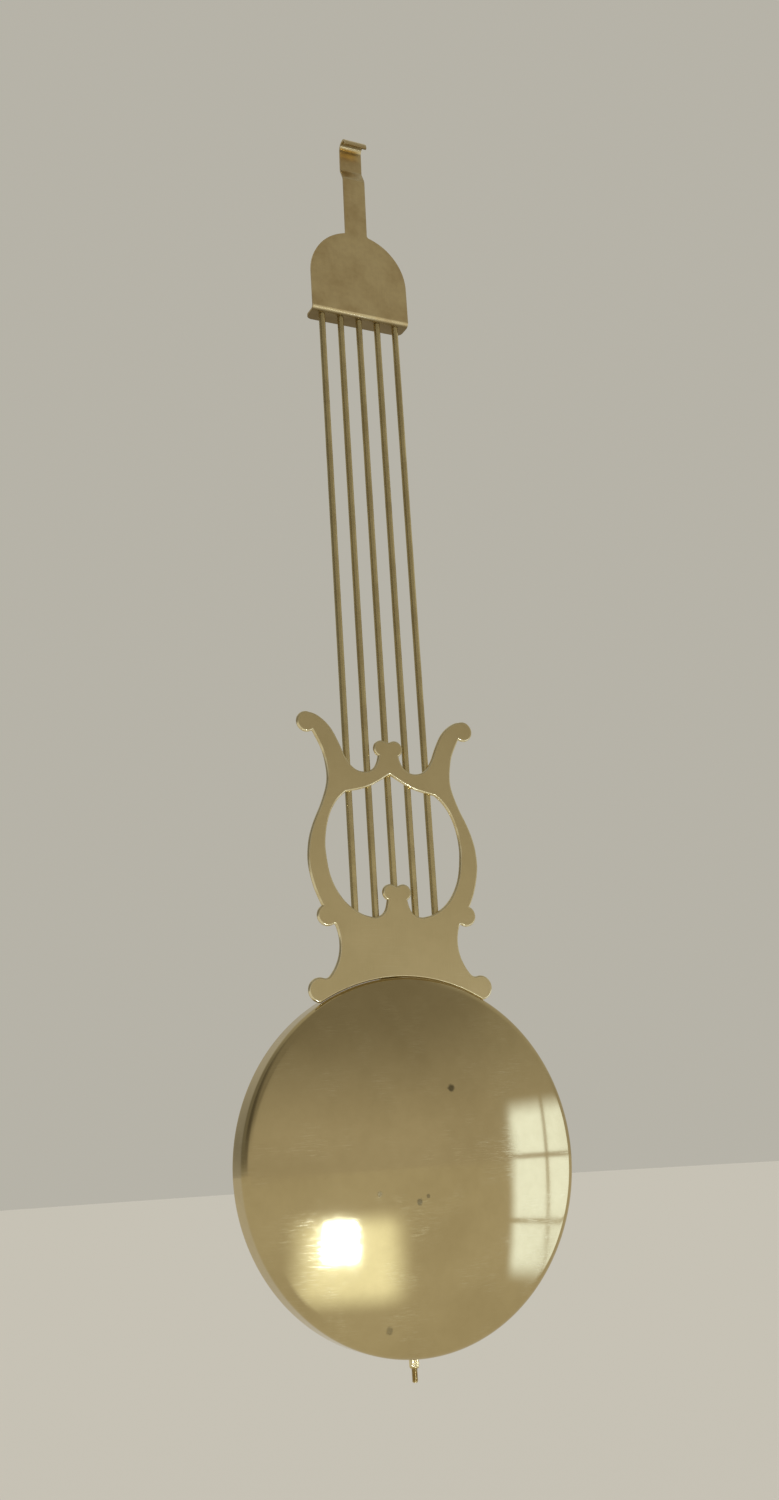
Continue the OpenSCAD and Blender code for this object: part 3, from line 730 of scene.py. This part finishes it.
def dress(node: str, name: str, width: float, finish: Finish, body: str, rolled: float = 0.0,
          folds: float = 0.0, closed: Sequence[tuple[Flat, Flat]] = ()) -> None:
    """Shows a copy of a solid with its sharp edges broken, as filing and tumbling do.

    The broken edges carry the mark that the edge wear reads.

    Args:
        node: the solid's name.
        name: the piece's name.
        width: width of the broken edge, in metres.
        finish: the piece's finish.
        body: the moving body that it rides on.
        rolled: width of the rounder edge that a stamping die leaves on the front, if any.
        folds: how much the faces round a fold get the rubbed colour and polish, a painted highlight
            along the fold.
        closed: places in X and Z of corners in a narrow cleft, on both sides, and where each
            goes to close it.
    """
    work = bmesh.new()
    work.from_mesh(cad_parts[node].data)
    bmesh.ops.remove_doubles(work, verts=work.verts, dist=WELD)
    bmesh.ops.dissolve_limit(work, angle_limit=math.radians(ONE_FACE), verts=work.verts,
                             edges=work.edges)
    for (x, z), place in closed:
        for corner in work.verts:
            if math.hypot(abs(corner.co.x) - x, corner.co.z - z) < CORNER_REACH:
                corner.co.x = math.copysign(place[0], corner.co.x)
                corner.co.z = place[1]
    bmesh.ops.remove_doubles(work, verts=work.verts, dist=WELD)
    mark = work.faces.layers.float.new("edge")
    # Painted highlight: faces beside a fold that lean forward take the rubbed colour and polish
    # through the edge mark
    for face in work.faces:
        if face.normal.y < -FOLD_LEAN and abs(face.normal.z) > FOLD_LEAN:
            face[mark] = folds
    if rolled:
        front = min(v.co.y for v in work.verts) + ON_FACE
        rim = [e for e in sharp_edges(work) if all(v.co.y < front for v in e.verts)]
        made = bmesh.ops.bevel(work, geom=rim, offset=rolled, offset_type="OFFSET",
                               segments=ROLLED_STEPS, profile=0.5, affect="EDGES",
                               clamp_overlap=False, miter_outer="ARC")
        for face in made["faces"]:
            face[mark] = 1.0
    made = bmesh.ops.bevel(work, geom=sharp_edges(work), offset=width, offset_type="OFFSET",
                           segments=BROKEN_STEPS, profile=0.5, affect="EDGES", clamp_overlap=True)
    for face in made["faces"]:
        face[mark] = 1.0
    piece = new_piece(name, finished(work, node + "_dressed"), finish, body, [node])
    flat = piece.modifiers.new("flat faces", "WEIGHTED_NORMAL")
    flat.keep_sharp = True
    flat.weight = FLAT_FACE_WEIGHT


def turned(name: str, profile: Sequence[Flat], steps: int, place: Place,
           marked: Callable[[float, float], bool] = lambda r, h: False) -> Mesh:
    """Turns a profile round an axis.

    Args:
        name: the mesh's name.
        profile: radius and height of each point, in order. A closed outline repeats its first
            point at the end.
        steps: number of faces round the axis.
        place: gives the point for a height, and for the two parts of a radius across the axis.
        marked: says whether the edge wear shows at a radius and height.

    Returns:
        The new mesh.
    """
    work = bmesh.new()
    mark = work.faces.layers.float.new("edge")
    rings = []
    for radius, height in profile:
        if radius < FINE_WELD:
            rings.append([work.verts.new(place(height, 0.0, 0.0))] * steps)
        else:
            angles = (2 * math.pi * i / steps for i in range(steps))
            rings.append([work.verts.new(place(height, radius * math.cos(a), radius * math.sin(a)))
                          for a in angles])
    for (low, high), (start, end) in zip(zip(rings, rings[1:]), zip(profile, profile[1:])):
        worn = marked((start[0] + end[0]) / 2, (start[1] + end[1]) / 2)
        for i in range(steps):
            k = (i + 1) % steps
            corners = list(dict.fromkeys([low[i], low[k], high[k], high[i]]))
            if len(corners) > 2:
                work.faces.new(corners)[mark] = 1.0 if worn else 0.0
    bmesh.ops.remove_doubles(work, verts=work.verts, dist=FINE_WELD)
    return finished(work, name)


def round_arc(centre: Flat, radius: float, start: float, end: float, steps: int) -> list[Flat]:
    """Points of an arc in a profile.

    Args:
        centre: the arc's centre.
        radius: its radius.
        start: angle of the first point, in degrees.
        end: angle of the last point, in degrees.
        steps: number of parts.

    Returns:
        The points.
    """
    angles = [math.radians(start + (end - start) * i / steps) for i in range(steps + 1)]
    return [(centre[0] + radius * math.cos(a), centre[1] + radius * math.sin(a)) for a in angles]


# Pieces

@dataclass
class HeadPlate:
    """The arched sheet with its folded lip, neck and hook."""

    broken_edge: float = 0.00016
    # Painted highlight along the sheet's folds, given as rubbed colour on the faces round each fold
    fold_highlight: float = 0.8

    def build(self) -> None:
        """Breaks the sheet's edges and dresses it."""
        dress("head_plate", "head_plate_sheet", self.broken_edge, HEAD_BRASS, "frame",
              folds=self.fold_highlight)


@dataclass
class Rods:
    """Five drawn rods with a shoulder, a tenon and a peened head."""

    names: tuple[str, ...] = ("rod_outer_left", "rod_inner_left", "rod_centre",
                              "rod_inner_right", "rod_outer_right")
    tenon: float = 0.001
    peen: float = 0.00135
    peen_height: float = 0.0007
    peen_foot: float = 0.00008
    peen_turns: tuple[int, ...] = (10, 20, 30, 40, 50, 60, 70, 80)
    sheet: float = 0.001
    chamfer: float = 0.00015
    rings: int = 24
    steps: int = 40

    def build(self) -> None:
        """Turns each rod between the places that its solid gives."""
        for name in self.names:
            low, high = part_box(name)
            x, y = (low.x + high.x) / 2, (low.y + high.y) / 2
            lip = high.z - self.peen_height - self.sheet
            profile = self.profile((high.x - low.x) / 2, low.z, lip, high.z)
            mesh = turned(name + "_drawn", profile, self.steps,
                          lambda h, u, v, x=x, y=y: (x + u, y + v, h),
                          lambda r, h, top=lip + self.sheet: h > top)
            new_piece(name + "_drawn", mesh, ROD_BRASS, "frame", [name])

    def profile(self, radius: float, foot: float, lip: float, end: float) -> list[Flat]:
        """The rod's outline from its foot to the top of its peened head.

        Args:
            radius: the rod's radius.
            foot: height of the rod's foot.
            lip: height of the lip's underside, where the rod's shoulder bears.
            end: height of the head's top.

        Returns:
            Radius and height of each point.
        """
        top = lip + self.sheet
        shank = [(radius, foot + (lip - foot) * i / self.rings) for i in range(1, self.rings)]
        rise = self.peen_height - self.peen_foot
        head = [(self.peen * math.cos(a), top + self.peen_foot + rise * math.sin(a))
                for a in (math.radians(turn) for turn in self.peen_turns)]
        return [(0.0, foot), (radius - self.chamfer, foot), (radius, foot + self.chamfer), *shank,
                (radius, lip - self.chamfer), (radius - self.chamfer, lip), (self.tenon, lip),
                (self.tenon, top), (self.peen, top), (self.peen, top + self.peen_foot), *head,
                (0.0, end)]


@dataclass
class SolderBead:
    """A hollow-faced bead of solder along X, in the corner between a plate and a bar."""

    fillet: float = 0.0007
    least: float = 2e-5
    parts: int = 90
    section: tuple[Flat, ...] = ((0.0, 0.0), (1.0, 0.0), (0.56, 0.1), (0.3, 0.3), (0.1, 0.56),
                                 (0.0, 1.0))
    taper: float = 24.0
    mean: float = 0.82
    waves: tuple[Point, ...] = ((0.12, 31.0, 1.3), (0.06, 83.0, 0.0))
    sharp: float = 50.0

    def reach(self, share: float) -> float:
        """How far the bead reaches along each face.

        Args:
            share: the place along the bead, from 0 to 1.

        Returns:
            The reach, which thins out towards both ends and wavers between them.
        """
        ends = min(1.0, math.sqrt(max(0.0, min(share, 1 - share)) * self.taper))
        wave = self.mean
        for size, turns, start in self.waves:
            wave += size * math.sin(turns * share + start)
        return self.fillet * ends * wave + self.least

    def mesh(self, name: str, start: float, end: float, plate: float, edge: float,
             up: float) -> Mesh:
        """Lays the bead.

        Args:
            name: the mesh's name.
            start: X of its start.
            end: X of its end.
            plate: Y of the plate's face.
            edge: Z of the bar's edge.
            up: 1 if the bead lies above that edge, -1 if below.

        Returns:
            The new mesh.
        """
        work = bmesh.new()
        rows = []
        for share in (i / self.parts for i in range(self.parts + 1)):
            x, reach = start + (end - start) * share, self.reach(share)
            rows.append([work.verts.new((x, plate + reach * out, edge + up * reach * along))
                         for out, along in self.section])
        for first, second in zip(rows, rows[1:]):
            for k in range(len(first)):
                n = (k + 1) % len(first)
                work.faces.new([first[k], first[n], second[n], second[k]])
        for row in (rows[0], rows[-1]):
            work.faces.new(row)
        return finished(work, name, self.sharp)


@dataclass
class LyrePlate:
    """The stamped lyre with the clamp bar behind it."""

    broken_edge: float = 0.0001
    rolled_edge: float = 0.0007
    bar_edge: float = 0.00025
    shoulders: tuple[tuple[Flat, Flat], ...] = (((0.003943, -0.3689), (0.0048, -0.3686)),
                                                ((0.004456, -0.368735), (0.0048, -0.3686)))
    solder: SolderBead = field(default_factory=SolderBead)

    def build(self) -> None:
        """Breaks the edges of the plate and the bar, and runs solder along the bar."""
        dress("lyre_plate", "lyre_plate_stamped", self.broken_edge, LYRE_BRASS, "frame",
              rolled=self.rolled_edge, closed=self.shoulders)
        dress("rod_clamp_bar", "clamp_bar_filed", self.bar_edge, BACK_BRASS, "frame")
        low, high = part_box("rod_clamp_bar")
        for name, z, up in (("solder_above_bar", high.z, 1.0), ("solder_below_bar", low.z, -1.0)):
            bead = self.solder.mesh(name, low.x + MM, high.x - MM, low.y, z, up)
            new_piece(name, bead, SOLDER, "frame")


@dataclass
class Hanger:
    """The strap behind the bob with its screws and the block on its foot."""

    strap_edge: float = 0.0002
    screw_edge: float = 0.00014
    block_edge: float = 0.0002

    def build(self) -> None:
        """Breaks the edges of each piece and dresses it."""
        for node, name, edge, finish in (
                ("hanger_strap", "hanger_strap_filed", self.strap_edge, BACK_BRASS),
                ("screw_block", "screw_block_filed", self.block_edge, BACK_BRASS),
                ("strap_screws", "strap_screws_turned", self.screw_edge, SCREW_BRASS)):
            dress(node, name, edge, finish, "frame")


@dataclass
class Bob:
    """The spun shell, its back sheet, and what is fixed on its back."""

    radius: float = 0.075
    band: float = 0.0094
    turn: float = 0.004
    dome: float = 0.4
    shell: float = 0.0008
    rim: float = 0.0024
    rim_roll: float = 0.0004
    lip_round: float = 0.0002
    worn_back: float = 0.0003
    steps: int = 288
    dome_parts: int = 56
    turn_parts: int = 20
    band_parts: int = 6
    roll_parts: int = 5
    lip_parts: int = 3
    sheet_edge: float = 0.0001
    screw_edge: float = 0.00014
    guide_edge: float = 0.00016
    block_edge: float = 0.00025

    def build(self) -> None:
        """Spins the shell and dresses everything that rides on the bob."""
        self.spin_shell()
        for node, name, edge, finish in (
                ("bob_back_plate", "bob_back_sheet", self.sheet_edge, BACK_SHEET),
                ("weight_screws", "weight_screws_turned", self.screw_edge, SCREW_STEEL),
                ("upper_guide", "upper_guide_bent", self.guide_edge, BACK_BRASS),
                ("guide_block", "guide_block_filed", self.block_edge, BACK_BRASS),
                ("block_screws", "block_screws_turned", self.screw_edge, SCREW_BRASS)):
            dress(node, name, edge, finish, "bob")
        for node, finish in (("bob_weight", IRON), ("guide_rivets", SCREW_BRASS)):
            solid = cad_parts[node].data
            solid.materials.clear()
            solid.materials.append(finish.material())
            log.info("%s: solid kept as it is, dressed as %s", node, finish.name)

    def outline(self, inset: float, front: float) -> list[Flat]:
        """The shell's surface from the middle of the dome to the back of the band.

        Args:
            inset: how far the surface lies inside the outer one.
            front: how far the band's front edge lies behind the frame's origin.

        Returns:
            Radius and forward distance of each point.
        """
        turn_x = self.radius - self.turn
        drop = math.sqrt((self.dome - self.turn) ** 2 - turn_x ** 2)
        meet = math.degrees(math.atan2(drop, turn_x))
        dome = round_arc((0.0, -drop - front), self.dome - inset, 90.0, meet, self.dome_parts)
        edge = round_arc((turn_x, -front), self.turn - inset, meet, 0.0, self.turn_parts)
        band = [(self.radius - inset, -front - self.band * i / self.band_parts)
                for i in range(1, self.band_parts)]
        return dome + edge[1:] + band

    def spin_shell(self) -> None:
        """Spins the shell with its rim turned over at the back."""
        low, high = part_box("bob_shell")
        centre = (low.z + high.z) / 2
        front = high.y - self.band
        back, roll, small = -high.y, self.rim_roll, self.lip_round
        inner = self.radius - self.shell
        lip = inner - self.rim
        corner = round_arc((self.radius - roll, back + roll), roll, 0.0, -90.0,
                           self.roll_parts)
        rim = [(lip + small, back),
               *round_arc((lip + small, back + small), small, -90.0, -180.0, self.lip_parts),
               (lip, back + self.shell), (inner, back + self.shell)]
        inside = [(r, max(forward, back + self.shell))
                  for r, forward in reversed(self.outline(self.shell, front))]
        profile = self.outline(0.0, front) + corner + rim + inside
        mesh = turned("bob_shell_spun", profile, self.steps, lambda h, u, v: (u, -h, centre + v),
                      lambda r, h: h < back + self.worn_back and r > inner)
        new_piece("bob_shell_spun", mesh, BOB_BRASS, "bob", ["bob_shell"])


@dataclass
class RatingScrew:
    """The threaded stud under the bob and its knurled nut."""

    pitch: float = 0.00045
    root: float = 0.00098
    ridge: tuple[float, ...] = (0.0, 0.12, 0.46, 0.58)
    chamfer: float = 0.0004
    turn_steps: int = 28
    sharp: float = 24.0
    knurls: int = 24
    knurl_steps: int = 8
    knurl_depth: float = 0.00012
    knurl_rise: float = 0.00014
    knurl_rings: int = 10
    nut_edge: float = 0.00018
    collar: float = 0.0005
    bore: float = 0.0013

    def build(self) -> None:
        """Cuts the thread and knurls the nut."""
        low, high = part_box("rating_screw")
        middle = Vector(((low.x + high.x) / 2, (low.y + high.y) / 2, 0.0))
        thread = self.thread(middle, (high.x - low.x) / 2, low.z, high.z)
        new_piece("rating_screw_cut", thread, SCREW_BRASS, "frame", ["rating_screw"])
        low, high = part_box("rating_nut")
        nut = self.nut(middle, (high.x - low.x) / 2, low.z, high.z)
        new_piece("rating_nut_knurled", nut, NUT_BRASS, "nut", ["rating_nut"])

    def thread(self, middle: Vector, crest: float, bottom: float, top: float) -> Mesh:
        """Winds the thread's ridge round the stud.

        Args:
            middle: the stud's axis.
            crest: the thread's outer radius.
            bottom: height of the stud's lower end.
            top: height of its upper end.

        Returns:
            The new mesh.
        """
        work = bmesh.new()
        steps = self.turn_steps

        def corner(radius: float, step: int, height: float) -> bmesh.types.BMVert:
            """The corner at a radius and height, a number of steps round the axis."""
            angle = 2 * math.pi * step / steps
            return work.verts.new((middle.x + radius * math.cos(angle),
                                   middle.y + radius * math.sin(angle), height))

        # One turn more at each end, pressed flat there
        count = (math.ceil((top - bottom) / self.pitch) + 2) * steps
        rows = []
        for i in range(count + 1):
            start = bottom + (i / steps - 1) * self.pitch
            row = []
            for share, radius in zip(self.ridge, (self.root, self.root, crest, crest)):
                z = min(max(start + share * self.pitch, bottom), top)
                row.append(corner(min(radius, crest - self.chamfer + (z - bottom)), i, z))
            rows.append(row)
        for i in range(count):
            for k in range(len(self.ridge) - 1):
                work.faces.new([rows[i][k], rows[i + 1][k], rows[i + 1][k + 1], rows[i][k + 1]])
            if i + steps < count:
                work.faces.new([rows[i][-1], rows[i + 1][-1], rows[i + steps + 1][0],
                                rows[i + steps][0]])
        for z, radius in ((bottom, crest - self.chamfer), (top, self.root)):
            work.faces.new([corner(radius, k, z) for k in range(steps)])
        bmesh.ops.dissolve_degenerate(work, dist=NO_LENGTH, edges=work.edges)
        return finished(work, "rating_screw_cut", self.sharp)

    def nut(self, middle: Vector, radius: float, bottom: float, top: float) -> Mesh:
        """Turns the nut and presses its knurl.

        Args:
            middle: the nut's axis.
            radius: its outer radius.
            bottom: height of its lower face.
            top: height of its upper face.

        Returns:
            The new mesh.
        """
        body = radius - self.knurl_depth
        edge, bore = self.nut_edge, self.bore
        low, high = bottom + self.collar, top - self.collar
        face = high - low - 2 * self.knurl_rise
        knurl = [(radius, low + self.knurl_rise + face * i / self.knurl_rings)
                 for i in range(self.knurl_rings + 1)]
        profile = [(bore + edge, bottom), (body - edge, bottom), (body, bottom + edge), (body, low),
                   *knurl, (body, high), (body, top - edge), (body - edge, top), (bore + edge, top),
                   (bore, top - edge), (bore, bottom + edge), (bore + edge, bottom)]

        def pressed(height: float, u: float, v: float) -> Point:
            """Presses the knurl's grooves in the outer face.

            Args:
                height: the point's height.
                u: its distance from the axis along X.
                v: its distance from the axis along Y.

            Returns:
                The pressed point.
            """
            r = math.hypot(u, v)
            if r > body + ON_FACE:
                wave = 0.5 - 0.5 * math.cos(self.knurls * math.atan2(v, u))
                scale = (r - self.knurl_depth * wave) / r
                u, v = u * scale, v * scale
            return middle.x + u, middle.y + v, height

        return turned("rating_nut_knurled", profile, self.knurls * self.knurl_steps, pressed,
                      lambda r, h: r > body)


# Studio

@dataclass(frozen=True)
class SoftCard:
    """A lamp card whose light fades out towards its edge, whole or cut by window bars."""

    name: str
    at: Point
    size: Flat
    glow: float
    core: float
    aim: Point = (0.0, 0.0, -0.48)
    tint: Colour = (0.84, 1.0, 1.30)
    panes: tuple[int, int] = (1, 1)
    bar: float = 0.05
    bar_core: float = 0.03
    bar_light: float = 0.12

    def hang(self) -> None:
        """Hangs the card, facing its aim. The camera doesn't see it."""
        mesh = bpy.data.meshes.new(self.name)
        w, h = self.size[0] / 2, self.size[1] / 2
        mesh.from_pydata([(-w, -h, 0), (w, -h, 0), (w, h, 0), (-w, h, 0)], [], [(0, 1, 2, 3)])
        card = bpy.data.objects.new(self.name, mesh)
        card.location = self.at
        card.rotation_mode = "QUATERNION"
        card.rotation_quaternion = (Vector(self.aim) - Vector(self.at)).to_track_quat("Z", "Y")
        card.visible_camera = False
        card.visible_diffuse = False
        card.visible_shadow = False
        bpy.context.scene.collection.objects.link(card)
        mesh.materials.append(self.light())

    def light(self) -> bpy.types.Material:
        """The card's light, brightest in the middle, on its front only.

        Returns:
            The material.
        """
        made = bpy.data.materials.new(self.name + " light")
        tree = empty_tree(made)
        parts = tree.parts(tree.place())
        behind = tree.node("ShaderNodeNewGeometry").outputs["Backfacing"]
        shown = tree.math("SUBTRACT", 1.0, behind)
        for part, size, count in zip(parts, self.size, self.panes):
            half = size / 2
            fade = tree.spread(tree.math("ABSOLUTE", part), half * self.core, half, 1.0, 0.0)
            shown = tree.times(shown, fade)
            if count > 1:
                place = tree.math("ADD", tree.times(part, count / size), count / 2 + 0.5)
                middle = tree.math("SUBTRACT", tree.math("FRACT", place), 0.5)
                pane = tree.spread(tree.math("ABSOLUTE", middle), self.bar_core, self.bar,
                                   self.bar_light, 1.0)
                shown = tree.times(shown, pane)
        clear = tree.node("ShaderNodeBsdfTransparent")
        lit = tree.node("ShaderNodeEmission", {"Color": (*self.tint, 1.0), "Strength": self.glow})
        mixed = tree.node("ShaderNodeMixShader", {0: shown, 1: clear.outputs[0], 2: lit.outputs[0]})
        tree.node("ShaderNodeOutputMaterial", {"Surface": mixed.outputs[0]})
        return made


@dataclass
class Studio:
    """The plain floor, the soft lights and the camera."""

    floor_height: float = -0.74
    floor_radius: float = 8.0
    floor_parts: int = 96
    floor_colour: Colour = (0.60, 0.58, 0.525)
    floor_roughness: float = 0.9
    camera_at: Point = (-0.27783, -0.55514, -0.46460)
    looks_along: Point = (0.43230, 0.86587, 0.25176)
    up: Point = (-0.05563, -0.25306, 0.96585)
    lens: float = 35.30
    sensor: float = 36.0
    nearest: float = 0.01
    light: Colour = (0.95, 0.93, 0.88)
    wall: Colour = (0.47, 0.45, 0.39)
    wall_range: Flat = (-0.1, 0.25)
    room_low: Colour = (0.52, 0.49, 0.43)
    room_high: Colour = (0.265, 0.245, 0.205)
    room_range: Flat = (0.03, 0.36)
    room_bright: Colour = (0.44, 0.42, 0.36)
    bright_range: Flat = (0.5, 0.85)
    bright_rise: Flat = (0.0, 0.3)
    far_side: float = 0.45
    far_lean: float = -0.3
    far_range: Flat = (-0.8, -0.3)
    far_rise: Flat = (-0.1, 0.1)
    cards: tuple[SoftCard, ...] = (
        SoftCard("side_window", (0.490, -0.383, -0.545), (0.19, 0.33), glow=1.6, core=0.72,
                 panes=(2, 3)),
        SoftCard("curtain", (0.098, -0.505, -0.64), (0.25, 0.18), glow=1.5, core=0.45,
                 tint=(0.95, 1.0, 0.93)),
        SoftCard("front_window", (0.062, -0.430, -0.591), (0.049, 0.053), glow=42.0, core=0.9),
    )

    def build(self) -> None:
        """Sets up everything round the pendulum."""
        self.light_world()
        self.lay_floor()
        for card in self.cards:
            card.hang()
        self.set_camera()
        bpy.context.scene.view_settings.view_transform = "Standard"

    def light_world(self) -> None:
        """Lights the room softly: a pale wall behind, a dimmer room in front, a darker far side."""
        world = bpy.data.worlds.new("soft_room")
        bpy.context.scene.world = world
        tree = empty_tree(world)
        across, ahead, upward = tree.parts(tree.node("ShaderNodeTexCoord").outputs["Generated"])
        room = tree.mix(tree.spread(upward, *self.room_range), self.room_low, self.room_high)
        bright = tree.times(tree.spread(across, *self.bright_range),
                            tree.spread(upward, *self.bright_rise))
        room = tree.mix(bright, room, self.room_bright)
        colour = tree.mix(tree.spread(ahead, *self.wall_range), room, self.wall)
        left = tree.math("ADD", across, tree.times(ahead, self.far_lean))
        shade = tree.spread(left, *self.far_range, 1.0 - self.far_side, 0.0)
        far = tree.times(shade, tree.spread(upward, *self.far_rise))
        shaded = tree.mix(far, colour, BLACK)
        ray = tree.node("ShaderNodeLightPath").outputs
        seen = tree.math("ADD", ray["Is Camera Ray"], ray["Is Glossy Ray"])
        seen = tree.math("ADD", seen, ray["Is Transmission Ray"], clamp=True)
        sky = tree.node("ShaderNodeBackground", {"Color": tree.mix(seen, self.light, shaded),
                                                 "Strength": 1.0})
        tree.node("ShaderNodeOutputWorld", {"Surface": sky.outputs[0]})

    def lay_floor(self) -> None:
        """Lays a plain pale floor under the pendulum."""
        work = bmesh.new()
        bmesh.ops.create_circle(work, cap_ends=True, segments=self.floor_parts,
                                radius=self.floor_radius)
        mesh = bpy.data.meshes.new("studio_floor")
        work.to_mesh(mesh)
        work.free()
        floor = bpy.data.objects.new("studio_floor", mesh)
        floor.location.z = self.floor_height
        bpy.context.scene.collection.objects.link(floor)
        pale = bpy.data.materials.new("plain floor")
        pale.use_nodes = True
        shader = pale.node_tree.nodes["Principled BSDF"]
        shader.inputs["Base Color"].default_value = (*self.floor_colour, 1.0)
        shader.inputs["Roughness"].default_value = self.floor_roughness
        shader.inputs["Specular IOR Level"].default_value = 0.0
        mesh.materials.append(pale)

    def set_camera(self) -> None:
        """Stands the camera low, to the left, looking up at the pendulum."""
        data = bpy.data.cameras.new("camera")
        data.lens = self.lens
        data.sensor_width = self.sensor
        data.clip_start = self.nearest
        camera = bpy.data.objects.new("camera", data)
        ahead = Vector(self.looks_along).normalized()
        right = ahead.cross(Vector(self.up)).normalized()
        top = right.cross(ahead)
        turn = Matrix((right, top, -ahead)).transposed().to_4x4()
        camera.matrix_world = Matrix.Translation(self.camera_at) @ turn
        bpy.context.scene.collection.objects.link(camera)
        bpy.context.scene.camera = camera


def main() -> None:
    """Builds the pendulum and the studio."""
    logging.basicConfig(level=logging.INFO, format="%(message)s")
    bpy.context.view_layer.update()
    for part in (HeadPlate(), Rods(), LyrePlate(), Hanger(), Bob(), RatingScrew()):
        log.info("building %s", type(part).__name__)
        part.build()
    Studio().build()


if __name__ == "__main__":
    main()
